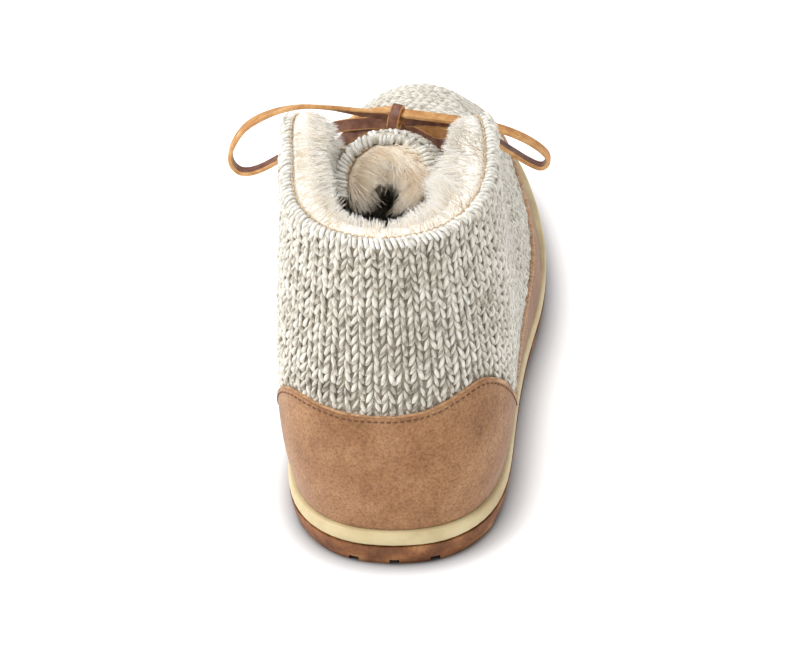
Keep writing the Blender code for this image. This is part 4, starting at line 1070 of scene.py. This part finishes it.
suede = finish("tan_suede", 0.95, Sheen_Weight=0.22, Sheen_Roughness=0.45)
patches = shades(suede, (60.0, 3.0, (1.0, 1.0, 1.0), 0.5), (0.34, (0.325, 0.158, 0.066)),
                 (0.50, (0.385, 0.195, 0.086)), (0.68, (0.455, 0.250, 0.118)))
strokes = shades(suede, (330.0, 4.0, (1.0, 1.0, 0.5), 0.65), (0.34, (0.84, 0.81, 0.78)),
                 (0.60, (1.0, 1.0, 1.0)))
nap = shades(suede, (1000.0, 3.0, (1.0, 1.0, 1.0), 0.8), (0.39, (0.56, 0.51, 0.46)),
             (0.50, (0.84, 0.81, 0.78)), (0.60, (1.0, 1.0, 1.0)))
brushed = blend_colours(suede, 0.9, patches, strokes, "MULTIPLY")
wire(suede, blend_colours(suede, 0.9, brushed, nap, "MULTIPLY"), "Base Color")
relief(suede, ((1900.0, 3.0), 0.16, 0.8), ((260.0, 5.0, (1.0, 1.0, 1.8)), 0.55, 0.3))
suede_edge = finish("suede_edge", 0.9, Sheen_Weight=0.2)
wire(suede_edge, shades(suede_edge, (400.0, 4.0), (0.34, (0.34, 0.165, 0.070)),
                        (0.62, (0.56, 0.32, 0.16))), "Base Color")
dark_thread = finish("dark_thread", 0.7, Base_Color=(0.120, 0.050, 0.022, 1.0))

counter = smooth_copy("heel_counter", "suede_counter", suede, 50.0, 2)
reshape(counter, lambda spots: sum(crease(spots, *wrinkle, 0.4, 1.8) for wrinkle in COUNTER_WRINKLES))
rand = smooth_copy("mudguard", "suede_rand", suede, 50.0, 2)
shown_suede = tree_of(counter, rand)

# The top edge is read off the two pieces all round the foot, from one station to the next.
stations = [((*HEEL_CENTRE, FOOT_HEIGHT), angle) for angle in np.linspace(-math.pi, 0.0, 90)]
stations += [((FOOT_MIDDLE, y, FOOT_HEIGHT), 0.0) for y in np.arange(-73.5, 84.0, 1.5)]
stations += [((*TOE_CENTRE, FOOT_HEIGHT), angle) for angle in np.linspace(0.0, math.pi, 70)]
stations += [((FOOT_MIDDLE, y, FOOT_HEIGHT), math.pi) for y in np.arange(82.5, -74.0, -1.5)]
suede_top = []
for centre, angle in stations:
    line, normals = outer_line(shown_suede, section_rays(np.array(centre), level_ray(angle), Z, -18.0, 55.0))
    if len(line) > 3:
        suede_top.append(np.append(line[-1], normals[-4:].mean(axis=0)))
suede_top = rolling_mean(suede_top, 1)
suede_top = even_steps(np.vstack([suede_top, suede_top[:1]]), 0.9)[:-1]
top_line = suede_top[:, :3]
top_along = unit(rolling_mean(np.roll(top_line, -1, axis=0) - np.roll(top_line, 1, axis=0), 2))
top_out = across_to(unit(rolling_mean(suede_top[:, 3:], 4)), top_along)
top_down = np.cross(top_along, top_out)
top_down *= -np.sign(top_down[:, 2:3])

roll_line = (top_line + top_down * 0.25 - top_out * 0.60)[None]
tubes("suede_turned_edge", roll_line, roll_line[:, [0, -1]], Z[None],
      np.full((1, len(top_line)), EDGE_RADIUS), 8, suede_edge, {"tone": 0.5})

found = [shown_suede.find_nearest(Vector(spot * MM)) for spot in top_line + top_down * EDGE_TO_STITCH]
stitch_line = np.array([tuple(near) for near, _, _, _ in found]) / MM
stitch_out = np.array([tuple(normal) for _, normal, _, _ in found])
on_counter = np.flatnonzero(stitch_line[:, 1] < COUNTER_FRONT)
start = on_counter[np.argmax(np.append(np.diff(on_counter), 0)) + 1] if on_counter[0] == 0 else on_counter[0]
from_front = np.roll(np.arange(len(stitch_line)), -start)
sewn_dark = stitch_line[from_front, 1] < COUNTER_FRONT
for label, row, mat in (("counter", from_front[sewn_dark], dark_thread),
                        ("rand", from_front[~sewn_dark], suede_edge)):
    seam("stitches_" + label, stitch_line[row], stitch_out[row], 2.2, 1.5, 0.24, mat)


# Fur
# Deep cream pile lines the collar, and longer honey-coloured pile the tongue. Each is a soft base
# set with thousands of strands that are drawn together into tufts.
COLLAR_MIDDLE = np.array([-3.5, -72.0])
COLLAR_STRANDS = 19000
TONGUE_STRANDS = 5600
FUR_CORNER = np.array([-29.0, -42.0, 121.0])
TONGUE_HOLLOW = np.array([-6.8, -52.0, 98.5])
HOLLOW_WIDTH = 5.0
WISPS = 0.025
COLLAR_PILE = 2.4
TONGUE_PILE = 6.5
LOWEST_PILE = 84.0
BARE_RIM = 2.3

fur_cream = pile_finish("fur_cream", (0.84, 0.77, 0.66), (0.96, 0.93, 0.87), (0.99, 0.975, 0.94))
fur_tan = pile_finish("fur_tan", (0.60, 0.42, 0.24), (0.95, 0.82, 0.62), (0.995, 0.96, 0.88))
fur_rng = np.random.default_rng(21)


def fur_base(node, name, mat, softening, depth_of):
    """A softened copy of a fur solid, drawn in or puffed out by a depth at each of its spots."""
    piece = smooth_copy(node, name, mat, 89.0, 1)
    pick(piece)
    softer = piece.modifiers.new("softer", "SMOOTH")
    softer.factor = 0.7
    softer.iterations = softening
    bpy.ops.object.modifier_apply(modifier="softer")
    reshape(piece, depth_of)
    bpy.ops.object.shade_smooth()
    piece.select_set(False)
    # The base takes the darker colour near the roots of the strands, as painted shade.
    set_value(piece, "height", 0.35)
    set_value(piece, "tone", 0.7)
    return piece


def scatter(piece, count, rng):
    """Random spots on a piece, spread evenly over its area, and the normals there."""
    piece.data.calc_loop_triangles()
    triangles = np.array([tuple(t.vertices) for t in piece.data.loop_triangles])
    spots, normals = corners_of(piece)
    a, b, c = (spots[triangles[:, k]] for k in range(3))
    areas = np.linalg.norm(np.cross(b - a, c - a), axis=1)
    chosen = rng.choice(len(triangles), count, p=areas / areas.sum())
    u, v = rng.random(count), rng.random(count)
    flip = u + v > 1.0
    u[flip], v[flip] = 1.0 - u[flip], 1.0 - v[flip]
    weights = np.stack([1.0 - u - v, u, v], axis=1)
    corners = triangles[chosen]
    roots = np.einsum("nk,nkj->nj", weights, spots[corners])
    return roots, unit(np.einsum("nk,nkj->nj", weights, normals[corners]))


def free_of(tree, roots, normals, reach):
    """Which spots have nothing of a surface close in front of them."""
    return np.array([tree.ray_cast(Vector(root * MM), Vector(normal), reach * MM)[0] is None
                     for root, normal in zip(roots, normals)])


def swirl(spots, size, seed):
    """A smooth random direction at each spot, which turns over about one size."""
    rng = np.random.default_rng(seed)
    field = np.zeros_like(spots)
    for _ in range(5):
        wave = unit(rng.normal(0.0, 1.0, 3)) * math.tau / (size * rng.uniform(0.7, 1.6))
        push = unit(rng.normal(0.0, 1.0, 3))
        field += np.sin(spots @ wave + rng.uniform(0.0, math.tau))[:, None] * push
    return field * 0.6


def nearest_of(spots, centres):
    """Index of the nearest centre to each spot."""
    found = np.empty(len(spots), int)
    for start in range(0, len(spots), 2000):
        block = spots[start:start + 2000]
        gaps = np.linalg.norm(block[:, None, :] - centres[None, :, :], axis=2)
        found[start:start + 2000] = np.argmin(gaps, axis=1)
    return found


def pile(name, roots, lean, length, radius, mat, tuft, together, fall, rings, warmer):
    """Strands that grow from roots along a lean, and close up into tufts towards their tips."""
    count = len(roots)
    centres = fur_rng.choice(count, max(1, count // tuft), replace=False)
    own = centres[nearest_of(roots, roots[centres])]
    way = unit(lean + fur_rng.normal(0.0, 0.16, (count, 3)))
    tips = roots + way * length[:, None]
    tuft_tips = (roots + unit(lean) * length[:, None])[own]
    tips = tips + (tuft_tips - tips) * (together * fur_rng.uniform(0.6, 1.2, count))[:, None]
    tips[:, 2] -= fall * length
    bulge = roots + way * (length * 0.55)[:, None]
    places = np.linspace(0.0, 0.86, rings)

    def spot_at(place):
        return ((1.0 - place) ** 2 * roots + 2.0 * place * (1.0 - place) * bulge + place**2 * tips)

    paths = np.stack([spot_at(place) for place in places], axis=1)
    paths[:, 0] -= way * 0.3
    taper = np.interp(places, (0.0, 0.5, 1.0), (1.0, 0.9, 0.25))
    thick = radius * fur_rng.uniform(0.75, 1.25, (count, 1)) * taper
    tones = fur_rng.normal(0.62, 0.22, (count, 1)) + 0.24 * swirl(roots, 10.0, 3)[:, :1]
    tones = np.clip(tones - warmer[:, None], 0.0, 1.0)
    heights = np.append(np.repeat(places, 3), (0.0, 1.0))[None, :]
    ends = np.stack([paths[:, 0], tips], axis=1)
    values = {"tone": tones, "height": np.broadcast_to(heights, (count, heights.shape[1]))}
    refs = unit(fur_rng.normal(0.0, 1.0, (count, 3)))
    strands = tubes(name, paths, ends, refs, thick, 3, mat, values)
    strands.visible_shadow = False


def gap_to(line, spots):
    """Distance of spots from the nearest point of a line."""
    return np.array([np.linalg.norm(line - spot, axis=1).min() for spot in spots])


def about(spots, centre, size):
    """One at a centre, falling off to nothing round it."""
    return np.exp(-((np.linalg.norm(spots - centre, axis=1) / size) ** 2))


def collar_depth(spots):
    """The lining puffs up over the seam at its edge; beside the tongue's inner wing it is thinner."""
    near = gap_to(edge[0] - flare(edge[0]), spots)
    beside = np.exp(-(((spots[:, 1] + 68.0) / 20.0) ** 2)) * (spots[:, 0] < COLLAR_MIDDLE[0])
    return (-0.8 - 1.4 * np.exp(-((near / 4.5) ** 2)) + 2.6 * beside * (near > 5.0)
            - 1.6 * about(spots, FUR_CORNER, 9.0))


collar_base = fur_base("fur_collar", "collar_fur_base", fur_cream, 4, collar_depth)
reshape(collar_base)
roots, normals = scatter(collar_base, 2 * COLLAR_STRANDS, fur_rng)
shown = free_of(wall_tree, roots, normals, 8.0) & (roots[:, 2] > LOWEST_PILE)
roots, normals = roots[shown], normals[shown]
inward = np.zeros_like(roots)
inward[:, :2] = unit(COLLAR_MIDDLE - roots[:, :2])
facing_in = np.clip(np.sum(normals * inward, axis=1), 0.0, 1.0)
on_crest = np.clip(normals[:, 2:3], 0.0, 1.0)
at_corner = about(roots, FUR_CORNER, 10.0)
outer_back = (np.exp(-(((roots[:, 0] - 18.0) / 15.0) ** 2) - ((roots[:, 1] + 90.0) / 20.0) ** 2)
              * (roots[:, 2] > 105.0))
lean = ((0.50 - 0.22 * on_crest) * normals + (0.45 + 0.35 * on_crest) * inward
        + np.array([0.0, 0.0, -0.05]) + 0.30 * swirl(roots, 18.0, 1)
        + at_corner[:, None] * np.array([0.7, 0.1, -0.1]))
length = COLLAR_PILE + (3.4 + 6.0 * outer_back) * facing_in + fur_rng.normal(0.0, 0.4, len(roots))
length += 3.0 * at_corner
by_seam = 0.6 * np.exp(-((gap_to(edge[0], roots) / 4.6) ** 4))
half = roots[:, 0] > COLLAR_MIDDLE[0]
for label, part in (("lateral", half), ("medial", ~half)):
    pile("collar_fur_" + label, roots[part], lean[part], length[part], 0.16, fur_cream,
         14, 0.35, 0.06, 2, by_seam[part])

# The strands on top of the tongue run over to its outer side, those at its sides hang down, and
# all but a few wisps leave the hollow in its middle open.
tongue_base = fur_base("tongue_fur", "tongue_fur_base", fur_tan, 1,
                       lambda spots: -np.clip(gap_to(tongue_edge[0], spots) / 2.6 - 0.4, 0.0, 1.0))
roots, normals = scatter(tongue_base, 2 * TONGUE_STRANDS, fur_rng)
shown = free_of(tongue_tree, roots, normals, 5.0) & (gap_to(tongue_edge[0], roots) > BARE_RIM)
roots, normals = roots[shown], normals[shown]
spoke = TONGUE_HOLLOW - roots
spoke = unit(spoke - np.outer(spoke @ axis_way, axis_way))
left = np.clip((TONGUE_HOLLOW[0] + 2.0 - roots[:, 0]) / 9.0, 0.0, 1.0)[:, None]
high = np.clip((roots[:, 2] - TONGUE_HOLLOW[2] - 3.0) / 6.0, 0.0, 1.0)[:, None]
lean = (0.28 * normals + 0.30 * spoke + high * np.array([0.75, 0.0, 0.05])
        + left * np.array([0.25, 0.0, -0.45]) + 0.22 * axis_way
        + (1.0 - left) * (1.0 - high) * np.array([-0.30, 0.0, -0.55]) + 0.30 * swirl(roots, 11.0, 2))
length = TONGUE_PILE + 2.2 * (1.0 - high[:, 0]) + fur_rng.normal(0.0, 0.8, len(roots))
held_back = fur_rng.random(len(roots)) > WISPS
for share in np.linspace(1.0, 0.3, 15):
    tips = roots + unit(lean) * length[:, None] * share - TONGUE_HOLLOW
    gap = np.linalg.norm(tips - np.outer(tips @ axis_way, axis_way), axis=1)
    shorter = held_back & (gap < HOLLOW_WIDTH)
    length = np.where(shorter, np.minimum(length, length * max(share - 0.05, 0.25)), length)
tufts = 0.45 * swirl(roots, 5.0, 5)[:, 0] - 0.06
pile("tongue_fur_strands", roots, lean, length, 0.15, fur_tan, 16, 0.45, 0.12, 3, tufts)


# Fuzz of the wool
# Short stray fibres of the yarn stand out from the knit everywhere above the suede, and make its
# outline soft.
FUZZ = 15000
FUZZ_FROM = 26.0
FUZZ_RADIUS = 0.05

fuzz_wool = finish("wool_fuzz", 0.95, Base_Color=(0.80, 0.77, 0.70, 1.0), Sheen_Weight=0.3)
fuzz_rng = np.random.default_rng(13)
roots, normals = scatter(wall, int(FUZZ * 2.6), fuzz_rng)
outside = np.sum(normals * (roots - IN_THE_FOOT), axis=1) > 0.0
bare = free_of(suede_tree, roots, normals, 6.0) & (roots[:, 2] > FUZZ_FROM)
roots, normals = roots[outside & bare][:FUZZ], normals[outside & bare][:FUZZ]
roots = roots + normals * fuzz_rng.uniform(0.6, 1.5, (len(roots), 1))
way = unit(0.45 * normals + fuzz_rng.normal(0.0, 0.6, roots.shape))
first = unit(np.cross(way, normals + 0.01))
second = np.cross(way, first)
corners = [roots + FUZZ_RADIUS * (first * math.cos(a) + second * math.sin(a)) for a in (0.0, 2.1, 4.2)]
tips = roots + way * fuzz_rng.uniform(1.2, 2.6, (len(roots), 1))
fuzz = joined("wool_fuzz", np.stack([*corners, tips], axis=1), [(0, 1, 3), (1, 2, 3), (2, 0, 3), (0, 2, 1)],
              fuzz_wool, {"tone": 0.5})
settle(fuzz)
